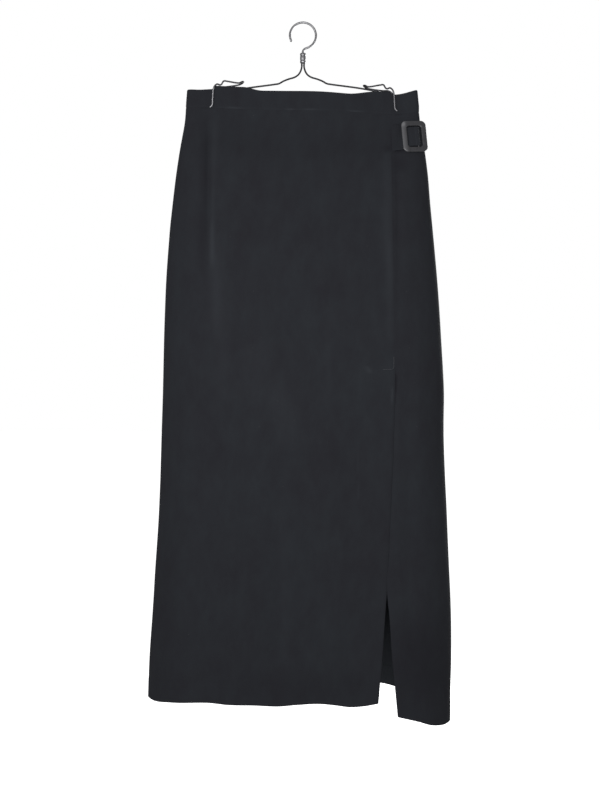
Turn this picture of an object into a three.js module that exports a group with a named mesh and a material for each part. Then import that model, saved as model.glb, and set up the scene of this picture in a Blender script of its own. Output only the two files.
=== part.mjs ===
// A black maxi skirt with a mock-wrap front, a long slit and a square buckle on the right hip,
// hung by two spring-wire clips from a wire hanger.
// Millimetres, +Z up, the front towards -Y, +X to the right of someone who looks at the front.
// The origin is the inner top of the hanger's hook, where a rod bears.
// In the tables, "down" is a distance below that origin.

import * as THREE from "three";

// Cloth walls, and the gap between neighbouring pieces
const PANEL_WALL = 1.5;
const BAND_WALL = 2.5;
const TAB_WALL = 1.8;
const GAP = 0.3;

// The skirt's left and right edges, seen from the front
const OUTLINE = [
  { down: 105, left: -183, right: 181 },
  { down: 128, left: -185, right: 183 },
  { down: 156, left: -187.5, right: 186 },
  { down: 193, left: -193.5, right: 192 },
  { down: 240, left: -200.5, right: 198 },
  { down: 288, left: -206, right: 201.7 },
  { down: 336, left: -211, right: 206.2 },
  { down: 407, left: -216, right: 212.7 },
  { down: 479, left: -219, right: 217.8 },
  { down: 574, left: -221.5, right: 222.4 },
  { down: 646, left: -223.5, right: 222.6 },
  { down: 717, left: -225.5, right: 225 },
  { down: 789, left: -229, right: 227.9 },
  { down: 860, left: -233.5, right: 231.1 },
  { down: 932, left: -238, right: 234.4 },
  { down: 1003, left: -243, right: 235 },
  { down: 1059, left: -245, right: 233.6 },
  { down: 1110, left: -245.5, right: 232.8 },
];

// The waistband's top edge, and the seam below it
const WAIST = [
  { x: -184, top: 106, seam: 134 },
  { x: -166, top: 106.4, seam: 134.3 },
  { x: -143, top: 105.2, seam: 135 },
  { x: -95, top: 107.5, seam: 137 },
  { x: -30, top: 110, seam: 140.5 },
  { x: 30, top: 111, seam: 141 },
  { x: 90, top: 114, seam: 142.5 },
  { x: 143, top: 114, seam: 145 },
  { x: 160, top: 112, seam: 144.5 },
  { x: 183, top: 106, seam: 140 },
];

// How far the waistband's top stands up between each clip's leg and its lever's tail
const BAND_RISE = [
  { from: -145, full: -138, until: -96, to: -64, rise: 5.4 },
  { from: 70, full: 116, until: 137, to: 144, rise: 5.2 },
];

// The hems of the front panel, of the side front panel and of the back panel
const FRONT_HEM = [
  { x: -246, down: 1067 },
  { x: -232, down: 1069.5 },
  { x: -205, down: 1068 },
  { x: -150, down: 1066.4 },
  { x: -115, down: 1070 },
  { x: -75, down: 1070.8 },
  { x: -40, down: 1072.8 },
  { x: -10, down: 1070 },
  { x: 25, down: 1068.1 },
  { x: 50, down: 1070 },
  { x: 72, down: 1073 },
  { x: 93, down: 1072 },
  { x: 116, down: 1068 },
];
const SIDE_HEM = [
  { x: 146, down: 1088.5 },
  { x: 180, down: 1097.3 },
  { x: 199, down: 1104 },
  { x: 213, down: 1106.4 },
  { x: 222, down: 1106.8 },
  { x: 233, down: 1105 },
];
const BACK_HEM = [
  { x: -246, down: 1067 },
  { x: -200, down: 1063 },
  { x: -120, down: 1058 },
  { x: 0, down: 1055 },
  { x: 80, down: 1055.5 },
  { x: 125, down: 1058.5 },
  { x: 150, down: 1064 },
  { x: 175, down: 1073 },
  { x: 200, down: 1088 },
  { x: 220, down: 1099.5 },
  { x: 233, down: 1105 },
];

// The wrap seam, and how far the two edges of the slit have parted from it on each side
const WRAP = [
  { down: 130, seam: 138, front: 0, side: 0 },
  { down: 350, seam: 139.5, front: 0, side: 0 },
  { down: 551, seam: 142.6, front: 0, side: 0 },
  { down: 598, seam: 142.2, front: 0, side: 0 },
  { down: 700, seam: 139, front: 0, side: 0 },
  { down: 884, seam: 130.5, front: 0, side: 0 },
  { down: 940, seam: 130.5, front: 4, side: 4.2 },
  { down: 996, seam: 130.5, front: 7.8, side: 7.8 },
  { down: 1034, seam: 130.5, front: 11, side: 11.3 },
  { down: 1089, seam: 130.5, front: 15.5, side: 16.5 },
];

// How the tube opens below the waist: half its depth, and the run over which each side rounds off
const FORM = [
  { drop: 0, depth: 6, round: 5 },
  { drop: 30, depth: 8, round: 7 },
  { drop: 60, depth: 15, round: 26 },
  { drop: 100, depth: 25, round: 46 },
  { drop: 150, depth: 35, round: 62 },
  { drop: 300, depth: 49, round: 85 },
  { drop: 600, depth: 54, round: 95 },
  { drop: 1000, depth: 57, round: 100 },
];

// At the waist the clips pinch front and back together, and the cloth bulges between and beside them
const CLIP_X = { left: -142, right: 144 };
const ARM_WIRE = 2.8;
const PINCH_DEPTH = ARM_WIRE / 2 + GAP + BAND_WALL / 2 - GAP / 2;
const PINCH_REACH = 8;
const MID_BULGE = 11;
const EAR_BULGE = 2.5;
const EAR_REACH = 48;
const RELEASE = { from: 30, to: 115 };

// Long soft folds in the hanging cloth: rise is outward, lean is sideways drift on the way down
const FOLDS = [
  { face: "front", x: -146, from: 140, to: 430, width: 9, rise: -3, lean: 0.01 },
  { face: "front", x: 148, from: 145, to: 420, width: 10, rise: -2.5, lean: 0.01 },
  { face: "front", x: -70, from: 330, to: 900, width: 50, rise: 3, lean: 0.06 },
  { face: "front", x: 35, from: 420, to: 1150, width: 24, rise: 2.5, lean: 0.02 },
  { face: "front", x: -30, from: 620, to: 1150, width: 22, rise: -3, lean: -0.03 },
  { face: "front", x: -165, from: 560, to: 1150, width: 30, rise: 3, lean: -0.05 },
  { face: "front", x: 185, from: 480, to: 1150, width: 20, rise: 3, lean: 0.02 },
  { face: "back", x: -143, from: 140, to: 480, width: 11, rise: -3.5, lean: 0.02 },
  { face: "back", x: 142, from: 145, to: 450, width: 11, rise: -3, lean: -0.02 },
  { face: "back", x: -60, from: 300, to: 1150, width: 34, rise: 4, lean: -0.04 },
  { face: "back", x: 15, from: 420, to: 1150, width: 26, rise: -3.5, lean: 0.03 },
  { face: "back", x: 95, from: 350, to: 1150, width: 32, rise: 3.5, lean: 0.04 },
  { face: "back", x: -175, from: 600, to: 1150, width: 26, rise: 3, lean: -0.03 },
];
const FOLD_FADE = 90;

// How finely the cloth is divided: rows down a panel, and columns along each piece
const PANEL_ROWS = 17;
const BAND_ROWS = 2;
const ROW_CROWDING = 1.35;
const COLUMNS = { front: 40, side: 15, back: 46, bandFront: 44, bandBack: 42 };
const FINE_STEPS = 240;
const TURN_WEIGHT = 32;

// The buckle: its middle, its size, and how it lies on the hip
const BUCKLE_AT = { x: 175.4, down: 182.8 };
const BUCKLE = { width: 40, height: 50.6, bar: 8, thickness: 4, corner: 8, holeCorner: 4.5, edge: 0.8 };
const BUCKLE_YAW = THREE.MathUtils.degToRad(12);
const BUCKLE_PITCH = THREE.MathUtils.degToRad(9);
const BUCKLE_ROLL = THREE.MathUtils.degToRad(3);
const BUCKLE_LIFT = 5.3;
const PIN_RADIUS = 1.2;
const PIN_AT = 5.5;

// The tab's half height where it leaves the seam and where it fills the buckle's hole,
// which it leaves clear at the round corners, and its clearance over the curved panel
const TAB_HALF = { seam: 22.5, hole: BUCKLE.height / 2 - BUCKLE.bar - 2.1 };
const TAB_CLEARANCE = 1.3;

// The wire hanger
const HOOK_WIRE = 3.4;
const HOOK_INNER_RADIUS = 19;
const NECK = { top: 47, bottom: 63, radius: 4.6 };
const ARM = [
  { out: 1.8, down: 63.3 },
  { out: 1.9, down: 69 },
  { out: 3.4, down: 75 },
  { out: 7, down: 81 },
  { out: 13, down: 85.2 },
  { out: 22, down: 88 },
  { out: 31, down: 91.5 },
  { out: 38, down: 95.4 },
  { out: 46, down: 96.8 },
  { out: 95, down: 103.6 },
  { out: 122, down: 109.5 },
  { out: 136, down: 116 },
  { out: 143, down: 124 },
];

// One clip wire, from the front foot over the lever's tail to the back foot.
// "in" runs from the leg towards the middle of the hanger, "up" from the clip's own height.
const CLIP_WIRE = 2.6;
const CLIP_DOWN = { left: 101, right: 107 };
const CLIP_PATH = [
  { layer: -1, in: -5, up: -32.8 },
  { layer: -1, in: -2.2, up: -29.8 },
  { layer: -1, in: -1.2, up: -20 },
  { layer: -1, in: 0, up: -5 },
  { layer: -1, in: 2.4, up: 1 },
  { layer: -1, in: 6.3, up: 3.6 },
  { layer: -1, in: 10.4, up: 2.2 },
  { layer: -1, in: 13, up: 3.4 },
  { layer: -1, in: 16.6, up: 8.4 },
  { layer: -1, in: 22, up: 8 },
  { layer: -1, in: 41, up: 5.4 },
  { layer: -0.8, in: 45.5, up: 7.6 },
  { layer: 0, in: 47.6, up: 8.4 },
  { layer: 0.8, in: 45.5, up: 7.2 },
  { layer: 1, in: 41, up: 5.2 },
  { layer: 1, in: 18, up: 1.6 },
  { layer: 1, in: 8, up: 1.2 },
  { layer: 1, in: 2, up: -2.5 },
  { layer: 1, in: 0, up: -9 },
  { layer: 1, in: -1.5, up: -29 },
  { layer: 1, in: -4, up: -33 },
];

const CLOTH = { color: 0x292a2e, roughness: 0.93, metalness: 0 };
const PLASTIC = { color: 0x35353a, roughness: 0.42, metalness: 0 };
const STEEL = { color: 0x8c8c90, roughness: 0.35, metalness: 1 };
const DARK_WIRE = { color: 0x4a4a4e, roughness: 0.4, metalness: 1 };

// A smooth curve through one column of a table, as a function of another column
function curveOf(rows, key, column) {
  const slopes = rows.map((row, i) => {
    const before = rows[Math.max(i - 1, 0)];
    const after = rows[Math.min(i + 1, rows.length - 1)];
    return (after[column] - before[column]) / (after[key] - before[key]);
  });
  return (at) => {
    const place = THREE.MathUtils.clamp(at, rows[0][key], rows[rows.length - 1][key]);
    let i = 0;
    while (i < rows.length - 2 && place > rows[i + 1][key]) i += 1;
    const span = rows[i + 1][key] - rows[i][key];
    const t = (place - rows[i][key]) / span;
    const ahead = t * t * (3 - 2 * t);
    const bend = t * (1 - t) * span;
    return (
      rows[i][column] * (1 - ahead) +
      rows[i + 1][column] * ahead +
      bend * ((1 - t) * slopes[i] - t * slopes[i + 1])
    );
  };
}

const leftEdge = curveOf(OUTLINE, "down", "left");
const rightEdge = curveOf(OUTLINE, "down", "right");
const waistTop = curveOf(WAIST, "x", "top");
const waistSeam = curveOf(WAIST, "x", "seam");
const frontHem = curveOf(FRONT_HEM, "x", "down");
const sideHem = curveOf(SIDE_HEM, "x", "down");
const backHem = curveOf(BACK_HEM, "x", "down");
const wrapSeam = curveOf(WRAP, "down", "seam");
const frontParting = curveOf(WRAP, "down", "front");
const sideParting = curveOf(WRAP, "down", "side");
const formDepth = curveOf(FORM, "drop", "depth");
const formRound = curveOf(FORM, "drop", "round");

function bandTop(x) {
  let top = waistTop(x);
  for (const { from, full, until, to, rise } of BAND_RISE) {
    const up = THREE.MathUtils.smoothstep(x, from, full) - THREE.MathUtils.smoothstep(x, until, to);
    top -= rise * up;
  }
  return top;
}

// The edges of the front panel and of the side front panel at the wrap seam and the slit
function frontEdge(down) {
  return wrapSeam(down) - GAP / 2 - Math.max(0, frontParting(down));
}

function sideEdge(down) {
  return wrapSeam(down) + GAP / 2 + Math.max(0, sideParting(down));
}

// A hump from 0 up to 1 and back to 0 between two places
function hump(x, from, to) {
  return x > from && x < to ? Math.sin((Math.PI * (x - from)) / (to - from)) ** 2 : 0;
}

// Half the depth that the clips leave at the waist
function waistDepth(x) {
  const leftEar = hump(x, CLIP_X.left - PINCH_REACH - EAR_REACH, CLIP_X.left - PINCH_REACH);
  const rightEar = hump(x, CLIP_X.right + PINCH_REACH, CLIP_X.right + PINCH_REACH + EAR_REACH);
  const middle = hump(x, CLIP_X.left + PINCH_REACH, CLIP_X.right - PINCH_REACH);
  return PINCH_DEPTH + EAR_BULGE * (leftEar + rightEar) + MID_BULGE * middle;
}

// What the soft folds of one face add to its depth
function foldRise(face, x, down) {
  let rise = 0;
  for (const fold of FOLDS) {
    if (fold.face !== face) continue;
    const into = THREE.MathUtils.smoothstep(down, fold.from, fold.from + FOLD_FADE);
    const out = THREE.MathUtils.smoothstep(down, fold.to - FOLD_FADE, fold.to);
    const aside = (x - fold.x - fold.lean * (down - fold.from)) / fold.width;
    rise += fold.rise * into * (1 - out) * Math.exp(-aside * aside);
  }
  return rise;
}

// The distance of a face's middle surface from the plane through the side seams
function faceDepth(face, x, down) {
  const drop = down - waistTop(x);
  const release = THREE.MathUtils.smoothstep(drop, RELEASE.from, RELEASE.to);
  const open = THREE.MathUtils.lerp(waistDepth(x), formDepth(drop), release);
  const inset = Math.max(0, Math.min(x - leftEdge(down), rightEdge(down) - x));
  const left = Math.max(0, 1 - inset / formRound(drop));
  return GAP / 2 + (open + foldRise(face, x, down)) * Math.sqrt(1 - left * left);
}

// Where a sloping row meets an edge that drifts sideways on its way down
function meet(edge, height) {
  let x = edge(height(0));
  for (let i = 0; i < 6; i += 1) x = edge(height(x));
  return x;
}

// Points with outward directions, spread along a fine line by its length and by how much it turns
function spread(line, count) {
  const tangents = line.map((point, i) => {
    const before = line[Math.max(i - 1, 0)];
    const after = line[Math.min(i + 1, line.length - 1)];
    return new THREE.Vector2(after.x - before.x, after.y - before.y).normalize();
  });
  const reach = [0];
  for (let i = 1; i < line.length; i += 1) {
    const turn = Math.acos(THREE.MathUtils.clamp(tangents[i].dot(tangents[i - 1]), -1, 1));
    reach.push(reach[i - 1] + line[i].distanceTo(line[i - 1]) + TURN_WEIGHT * turn);
  }
  const spots = [];
  let i = 0;
  for (let column = 0; column <= count; column += 1) {
    const target = (reach[reach.length - 1] * column) / count;
    while (i < line.length - 2 && reach[i + 1] < target) i += 1;
    const t = THREE.MathUtils.clamp((target - reach[i]) / (reach[i + 1] - reach[i]), 0, 1);
    const along = tangents[i].clone().lerp(tangents[i + 1], t).normalize();
    spots.push({
      point: line[i].clone().lerp(line[i + 1], t),
      outward: new THREE.Vector3(along.y, -along.x, 0),
    });
  }
  return spots;
}

// One row of a face: height gives the row's distance down at each x
function faceRow(face, start, end, height, count) {
  const side = face === "front" ? -1 : 1;
  const from = meet(start, height);
  const to = meet(end, height);
  const line = [];
  for (let i = 0; i <= FINE_STEPS; i += 1) {
    const share = 0.5 - 0.5 * Math.cos((Math.PI * i) / FINE_STEPS);
    const x = THREE.MathUtils.lerp(from, to, share);
    const down = height(x);
    line.push(new THREE.Vector3(x, side * faceDepth(face, x, down), -down));
  }
  return spread(line, count);
}

// Shares of the way down at which rows lie, closer together near the top where crowding is over 1
function rowShares(rows, crowding) {
  return Array.from({ length: rows + 1 }, (unused, row) => (row / rows) ** crowding);
}

// The rows of one cloth piece between its top and bottom edges
function faceGrid({ face, start, end, top, bottom, columns, shares }) {
  return shares.map((share) => {
    const height = (x) => THREE.MathUtils.lerp(top(x), bottom(x), share);
    return faceRow(face, start, end, height, columns);
  });
}

// A closed wall round a grid of points that runs left to right and top to bottom, seen from outside
function clothWall(grid, wall) {
  const rows = grid.length;
  const columns = grid[0].length;
  const positions = [];
  for (const offset of [wall / 2, -wall / 2]) {
    for (const row of grid) {
      for (const spot of row) {
        positions.push(...spot.point.clone().addScaledVector(spot.outward, offset).toArray());
      }
    }
  }
  const outer = (row, column) => row * columns + column;
  const inner = (row, column) => rows * columns + row * columns + column;
  const faces = [];
  const quad = (a, b, c, d) => faces.push(a, b, c, a, c, d);
  for (let row = 0; row < rows - 1; row += 1) {
    for (let column = 0; column < columns - 1; column += 1) {
      quad(outer(row, column), outer(row + 1, column), outer(row + 1, column + 1), outer(row, column + 1));
      quad(inner(row, column), inner(row, column + 1), inner(row + 1, column + 1), inner(row + 1, column));
    }
  }
  for (let row = 0; row < rows - 1; row += 1) {
    const last = columns - 1;
    quad(outer(row, 0), inner(row, 0), inner(row + 1, 0), outer(row + 1, 0));
    quad(outer(row, last), outer(row + 1, last), inner(row + 1, last), inner(row, last));
  }
  for (let column = 0; column < columns - 1; column += 1) {
    const last = rows - 1;
    quad(outer(0, column), outer(0, column + 1), inner(0, column + 1), inner(0, column));
    quad(outer(last, column), inner(last, column), inner(last, column + 1), outer(last, column + 1));
  }
  const geometry = new THREE.BufferGeometry();
  geometry.setAttribute("position", new THREE.Float32BufferAttribute(positions, 3));
  geometry.setIndex(faces);
  geometry.computeVertexNormals();
  return geometry;
}

function named(name, geometry, finish) {
  const mesh = new THREE.Mesh(geometry, new THREE.MeshStandardMaterial(finish));
  mesh.name = name;
  return mesh;
}

function buildWaistband(part) {
  const band = { top: bandTop, bottom: waistSeam, shares: rowShares(BAND_ROWS, 1) };
  const front = faceGrid({ ...band, face: "front", start: leftEdge, end: rightEdge, columns: COLUMNS.bandFront });
  const back = faceGrid({ ...band, face: "back", start: rightEdge, end: leftEdge, columns: COLUMNS.bandBack });
  part.add(named("waistband_front", clothWall(front, BAND_WALL), CLOTH));
  part.add(named("waistband_back", clothWall(back, BAND_WALL), CLOTH));
}

function buildPanels(part) {
  const shares = rowShares(PANEL_ROWS, ROW_CROWDING);
  const panel = { top: (x) => waistSeam(x) + GAP, shares };
  const wrapTop = waistSeam(wrapSeam(0)) + GAP;
  const frontShare = (frontHem(FRONT_HEM.at(-1).x) - wrapTop) / (sideHem(SIDE_HEM[0].x) - wrapTop);
  // The side front panel has its rows level with the front panel's, and one more at its lower hem
  const sideShares = [...shares.map((share) => share * frontShare), 1];
  const front = faceGrid({
    ...panel,
    face: "front",
    start: leftEdge,
    end: frontEdge,
    bottom: frontHem,
    columns: COLUMNS.front,
  });
  const side = faceGrid({
    ...panel,
    face: "front",
    start: sideEdge,
    end: rightEdge,
    bottom: sideHem,
    shares: sideShares,
    columns: COLUMNS.side,
  });
  const back = faceGrid({
    ...panel,
    face: "back",
    start: rightEdge,
    end: leftEdge,
    bottom: backHem,
    columns: COLUMNS.back,
  });
  part.add(named("front_panel", clothWall(front, PANEL_WALL), CLOTH));
  part.add(named("side_front_panel", clothWall(side, PANEL_WALL), CLOTH));
  part.add(named("back_panel", clothWall(back, PANEL_WALL), CLOTH));
}

// The buckle's own directions: across it, up it, and out of the cloth
function buckleFrame() {
  const level = new THREE.Vector3(Math.cos(BUCKLE_YAW), Math.sin(BUCKLE_YAW), 0);
  const facing = new THREE.Vector3(Math.sin(BUCKLE_YAW), -Math.cos(BUCKLE_YAW), 0);
  const up = new THREE.Vector3(0, 0, Math.cos(BUCKLE_PITCH)).addScaledVector(facing, -Math.sin(BUCKLE_PITCH));
  const out = facing.clone().multiplyScalar(Math.cos(BUCKLE_PITCH));
  out.z = Math.sin(BUCKLE_PITCH);
  level.applyAxisAngle(out, BUCKLE_ROLL);
  up.applyAxisAngle(out, BUCKLE_ROLL);
  const depth = faceDepth("front", BUCKLE_AT.x, BUCKLE_AT.down) + BUCKLE_LIFT;
  const frame = new THREE.Matrix4().makeBasis(level, up, out);
  return frame.setPosition(BUCKLE_AT.x, -depth, -BUCKLE_AT.down);
}

function roundedOutline(path, width, height, corner) {
  const x = width / 2 - corner;
  const y = height / 2 - corner;
  path.absarc(x, y, corner, 0, Math.PI / 2);
  path.absarc(-x, y, corner, Math.PI / 2, Math.PI);
  path.absarc(-x, -y, corner, Math.PI, 1.5 * Math.PI);
  path.absarc(x, -y, corner, 1.5 * Math.PI, 2 * Math.PI);
  path.closePath();
  return path;
}

function buildBuckle(part, frame) {
  const { width, height, bar, thickness, corner, holeCorner, edge } = BUCKLE;
  const ring = roundedOutline(new THREE.Shape(), width - 2 * edge, height - 2 * edge, corner - edge);
  const holeWidth = width - 2 * bar + 2 * edge;
  const holeHeight = height - 2 * bar + 2 * edge;
  ring.holes.push(roundedOutline(new THREE.Path(), holeWidth, holeHeight, holeCorner + edge));
  const geometry = new THREE.ExtrudeGeometry(ring, {
    depth: thickness - 2 * edge,
    bevelThickness: edge,
    bevelSize: edge,
    bevelSegments: 2,
    curveSegments: 4,
  });
  geometry.translate(0, 0, edge);
  const buckle = named("buckle", geometry, PLASTIC);
  buckle.applyMatrix4(frame);
  part.add(buckle);

  const pinLength = height - 2 * bar - 2 * GAP;
  const pin = named("buckle_bar", new THREE.CylinderGeometry(PIN_RADIUS, PIN_RADIUS, pinLength, 10), STEEL);
  pin.geometry.translate(PIN_AT, 0, PIN_RADIUS * 0.5);
  pin.applyMatrix4(frame);
  part.add(pin);
}

// The tab leaves the wrap seam on the side front panel, passes under the buckle's left bar,
// rises through the hole and folds down behind the pin.
function buildTab(part, frame) {
  const bend = PIN_RADIUS + GAP + TAB_WALL / 2 + 0.1;
  const pinOut = PIN_RADIUS * 0.5;
  const path = [
    { across: -17.5, out: -1.7, half: 19 },
    { across: -13.5, out: -1.4, half: 16 },
    { across: -11, out: -0.5, half: TAB_HALF.hole },
    { across: -6, out: pinOut + bend - 0.9, half: TAB_HALF.hole },
    { across: 1, out: pinOut + bend, half: TAB_HALF.hole },
  ];
  for (let step = 0; step <= 4; step += 1) {
    const angle = Math.PI / 2 - (step * Math.PI * 0.7) / 4;
    path.push({
      across: PIN_AT + bend * Math.cos(angle),
      out: pinOut + bend * Math.sin(angle),
      half: TAB_HALF.hole,
    });
  }
  const line = path.map(({ across, out }) => new THREE.Vector3(across, 0, out).applyMatrix4(frame));
  const onPanel = [];
  const seamX = wrapSeam(BUCKLE_AT.down) + 2 * GAP;
  const lastX = line[0].x - 7;
  const lift = PANEL_WALL / 2 + TAB_CLEARANCE + TAB_WALL / 2;
  for (let step = 0; step <= 4; step += 1) {
    const x = THREE.MathUtils.lerp(seamX, lastX, step / 4);
    onPanel.push({ x, half: THREE.MathUtils.lerp(TAB_HALF.seam, TAB_HALF.seam - 1, step / 4) });
  }
  const up = new THREE.Vector3().setFromMatrixColumn(frame, 1);
  const grid = [1, 0.33, -0.33, -1].map((share) => {
    const low = onPanel.map(({ x, half }) => {
      const down = BUCKLE_AT.down - share * half;
      return new THREE.Vector3(x, -faceDepth("front", x, down) - lift, -down);
    });
    const high = path.map((spot, i) => line[i].clone().addScaledVector(up, share * spot.half));
    const points = [...low, ...high];
    return points.map((point, i) => {
      const before = points[Math.max(i - 1, 0)];
      const after = points[Math.min(i + 1, points.length - 1)];
      const along = new THREE.Vector2(after.x - before.x, after.y - before.y).normalize();
      return { point, outward: new THREE.Vector3(along.y, -along.x, 0) };
    });
  });
  part.add(named("buckle_tab", clothWall(grid, TAB_WALL), CLOTH));
}

// A round wire along a smooth line through the given points
function wire(points, diameter, sides, steps) {
  const section = new THREE.Shape();
  for (let i = 0; i < sides; i += 1) {
    const angle = (2 * Math.PI * i) / sides;
    const x = (diameter / 2) * Math.cos(angle);
    const y = (diameter / 2) * Math.sin(angle);
    if (i === 0) section.moveTo(x, y);
    else section.lineTo(x, y);
  }
  section.closePath();
  const extrudePath = new THREE.CatmullRomCurve3(points, false, "centripetal");
  return new THREE.ExtrudeGeometry(section, { steps, extrudePath, bevelEnabled: false });
}

function buildHanger(part) {
  const radius = HOOK_INNER_RADIUS + HOOK_WIRE / 2;
  const hookPoints = [
    new THREE.Vector3(0, 0, -NECK.top + GAP),
    new THREE.Vector3(0, 0, -NECK.top + 3),
    new THREE.Vector3(2.5, 0, -NECK.top + 6.5),
  ];
  const firstAngle = THREE.MathUtils.degToRad(-62);
  const lastAngle = THREE.MathUtils.degToRad(205);
  const bends = 12;
  for (let i = 0; i <= bends; i += 1) {
    const angle = THREE.MathUtils.lerp(firstAngle, lastAngle, i / bends);
    const x = radius * Math.cos(angle);
    const z = radius * Math.sin(angle) - HOOK_INNER_RADIUS;
    hookPoints.push(new THREE.Vector3(x, 0, z));
  }
  part.add(named("hanger_hook", wire(hookPoints, HOOK_WIRE, 8, 36), STEEL));

  const neckTall = NECK.bottom - NECK.top;
  const neck = named("hanger_neck", new THREE.CylinderGeometry(NECK.radius, NECK.radius, neckTall, 16), STEEL);
  neck.rotation.x = Math.PI / 2;
  neck.position.z = -(NECK.top + NECK.bottom) / 2;
  part.add(neck);

  for (const [name, sign] of [["left", -1], ["right", 1]]) {
    const points = ARM.map(({ out, down }) => new THREE.Vector3(sign * out, 0, -down));
    part.add(named(`hanger_arm_${name}`, wire(points, ARM_WIRE, 8, 34), DARK_WIRE));
  }
}

function buildClips(part) {
  const layerAt = GAP / 2 + PINCH_DEPTH + BAND_WALL / 2 + GAP + CLIP_WIRE / 2 + 0.1;
  for (const [name, inward] of [["left", 1], ["right", -1]]) {
    const points = CLIP_PATH.map((spot) => {
      const x = CLIP_X[name] + inward * spot.in;
      return new THREE.Vector3(x, layerAt * spot.layer, spot.up - CLIP_DOWN[name]);
    });
    part.add(named(`clip_${name}`, wire(points, CLIP_WIRE, 6, 64), STEEL));
  }
}

function buildSkirt() {
  const part = new THREE.Group();
  buildWaistband(part);
  buildPanels(part);
  const frame = buckleFrame();
  buildBuckle(part, frame);
  buildTab(part, frame);
  buildHanger(part);
  buildClips(part);
  return part;
}

export default buildSkirt();
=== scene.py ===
"""The looks of a black maxi skirt with a mock-wrap front, hung by two spring-wire clips from a wire hanger.

The cloth pieces are thin shells on the forms of the frame's cloth solids, with finer seams, hems,
creases and stitches. Tables are in millimetres, with "down" as a distance below the hook's inner top.
"""

import math

import bpy
import numpy as np
from mathutils import Matrix, Vector


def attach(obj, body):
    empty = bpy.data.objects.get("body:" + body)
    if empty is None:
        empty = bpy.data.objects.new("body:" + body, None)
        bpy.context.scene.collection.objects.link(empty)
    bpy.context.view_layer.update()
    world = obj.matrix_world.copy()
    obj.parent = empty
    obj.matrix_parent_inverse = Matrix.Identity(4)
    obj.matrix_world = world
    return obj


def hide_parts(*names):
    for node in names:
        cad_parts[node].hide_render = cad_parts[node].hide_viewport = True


MM = 0.001


def table(columns, *rows):
    """A table as a dictionary that holds each named column."""
    return dict(zip(columns.split(), np.array(rows, float).T))


# Cloth walls, and the gap between neighbouring solids
PANEL_OUT = 0.75
PANEL_IN = -0.15
BAND_OUT = 1.25
TAB_OUT = 0.9
GAP = 0.3

# The skirt's left and right edges, seen from the front
OUTLINE = table(
    "down left right",
    (105, -183, 181),
    (128, -185, 183),
    (156, -187.5, 186),
    (193, -193.5, 192),
    (240, -200.5, 198),
    (288, -206, 201.7),
    (336, -211, 206.2),
    (407, -216, 212.7),
    (479, -219, 217.8),
    (574, -221.5, 222.4),
    (646, -223.5, 222.6),
    (717, -225.5, 225),
    (789, -229, 227.9),
    (860, -233.5, 231.1),
    (932, -238, 234.4),
    (1003, -243, 235),
    (1059, -245, 233.6),
    (1110, -245.5, 232.8),
)

# The waistband's top edge, and the seam below it
WAIST = table(
    "x top seam",
    (-184, 106, 134),
    (-166, 106.4, 134.3),
    (-143, 105.2, 135),
    (-95, 107.5, 137),
    (-30, 110, 140.5),
    (30, 111, 141),
    (90, 114, 142.5),
    (143, 114, 145),
    (160, 112, 144.5),
    (183, 106, 140),
)

# How far the waistband's top stands up between each clip's leg and its lever's tail
BAND_RISE = (
    {"start": -145, "full": -138, "until": -96, "end": -64, "rise": 5.4},
    {"start": 70, "full": 116, "until": 137, "end": 144, "rise": 5.2},
)

# The hems of the front panel, of the side front panel and of the back panel
FRONT_HEM = table(
    "x down",
    (-246, 1067),
    (-232, 1069.5),
    (-205, 1068),
    (-150, 1066.4),
    (-115, 1070),
    (-75, 1070.8),
    (-40, 1072.8),
    (-10, 1070),
    (25, 1068.1),
    (50, 1070),
    (72, 1073),
    (93, 1072),
    (116, 1068),
)
SIDE_HEM = table(
    "x down",
    (146, 1088.5),
    (180, 1097.3),
    (199, 1104),
    (213, 1106.4),
    (222, 1106.8),
    (233, 1105),
)
BACK_HEM = table(
    "x down",
    (-246, 1067),
    (-200, 1063),
    (-120, 1058),
    (0, 1055),
    (80, 1055.5),
    (125, 1058.5),
    (150, 1064),
    (175, 1073),
    (200, 1088),
    (220, 1099.5),
    (233, 1105),
)

# The wrap seam, and how far the two edges of the slit have parted from it on each side
WRAP = table(
    "down seam front side",
    (130, 138, 0, 0),
    (350, 139.5, 0, 0),
    (551, 142.6, 0, 0),
    (598, 142.2, 0, 0),
    (700, 139, 0, 0),
    (884, 130.5, 0, 0),
    (940, 130.5, 4, 4.2),
    (996, 130.5, 7.8, 7.8),
    (1034, 130.5, 11, 11.3),
    (1089, 130.5, 15.5, 16.5),
)

# How the tube opens below the waist: half its depth, and the run over which each side rounds off
FORM = table(
    "drop depth round",
    (0, 6, 5),
    (30, 8, 7),
    (60, 15, 26),
    (100, 25, 46),
    (150, 35, 62),
    (300, 49, 85),
    (600, 54, 95),
    (1000, 57, 100),
)

# At the waist the clips pinch front and back together, and the cloth bulges between and beside them
CLIP_X = {"left": -142, "right": 144}
ARM_WIRE = 2.8
PINCH_DEPTH = ARM_WIRE / 2 + GAP + BAND_OUT - GAP / 2
PINCH_REACH = 8
MID_BULGE = 11
EAR_BULGE = 2.5
EAR_REACH = 48
RELEASE = (30, 115)

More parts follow.
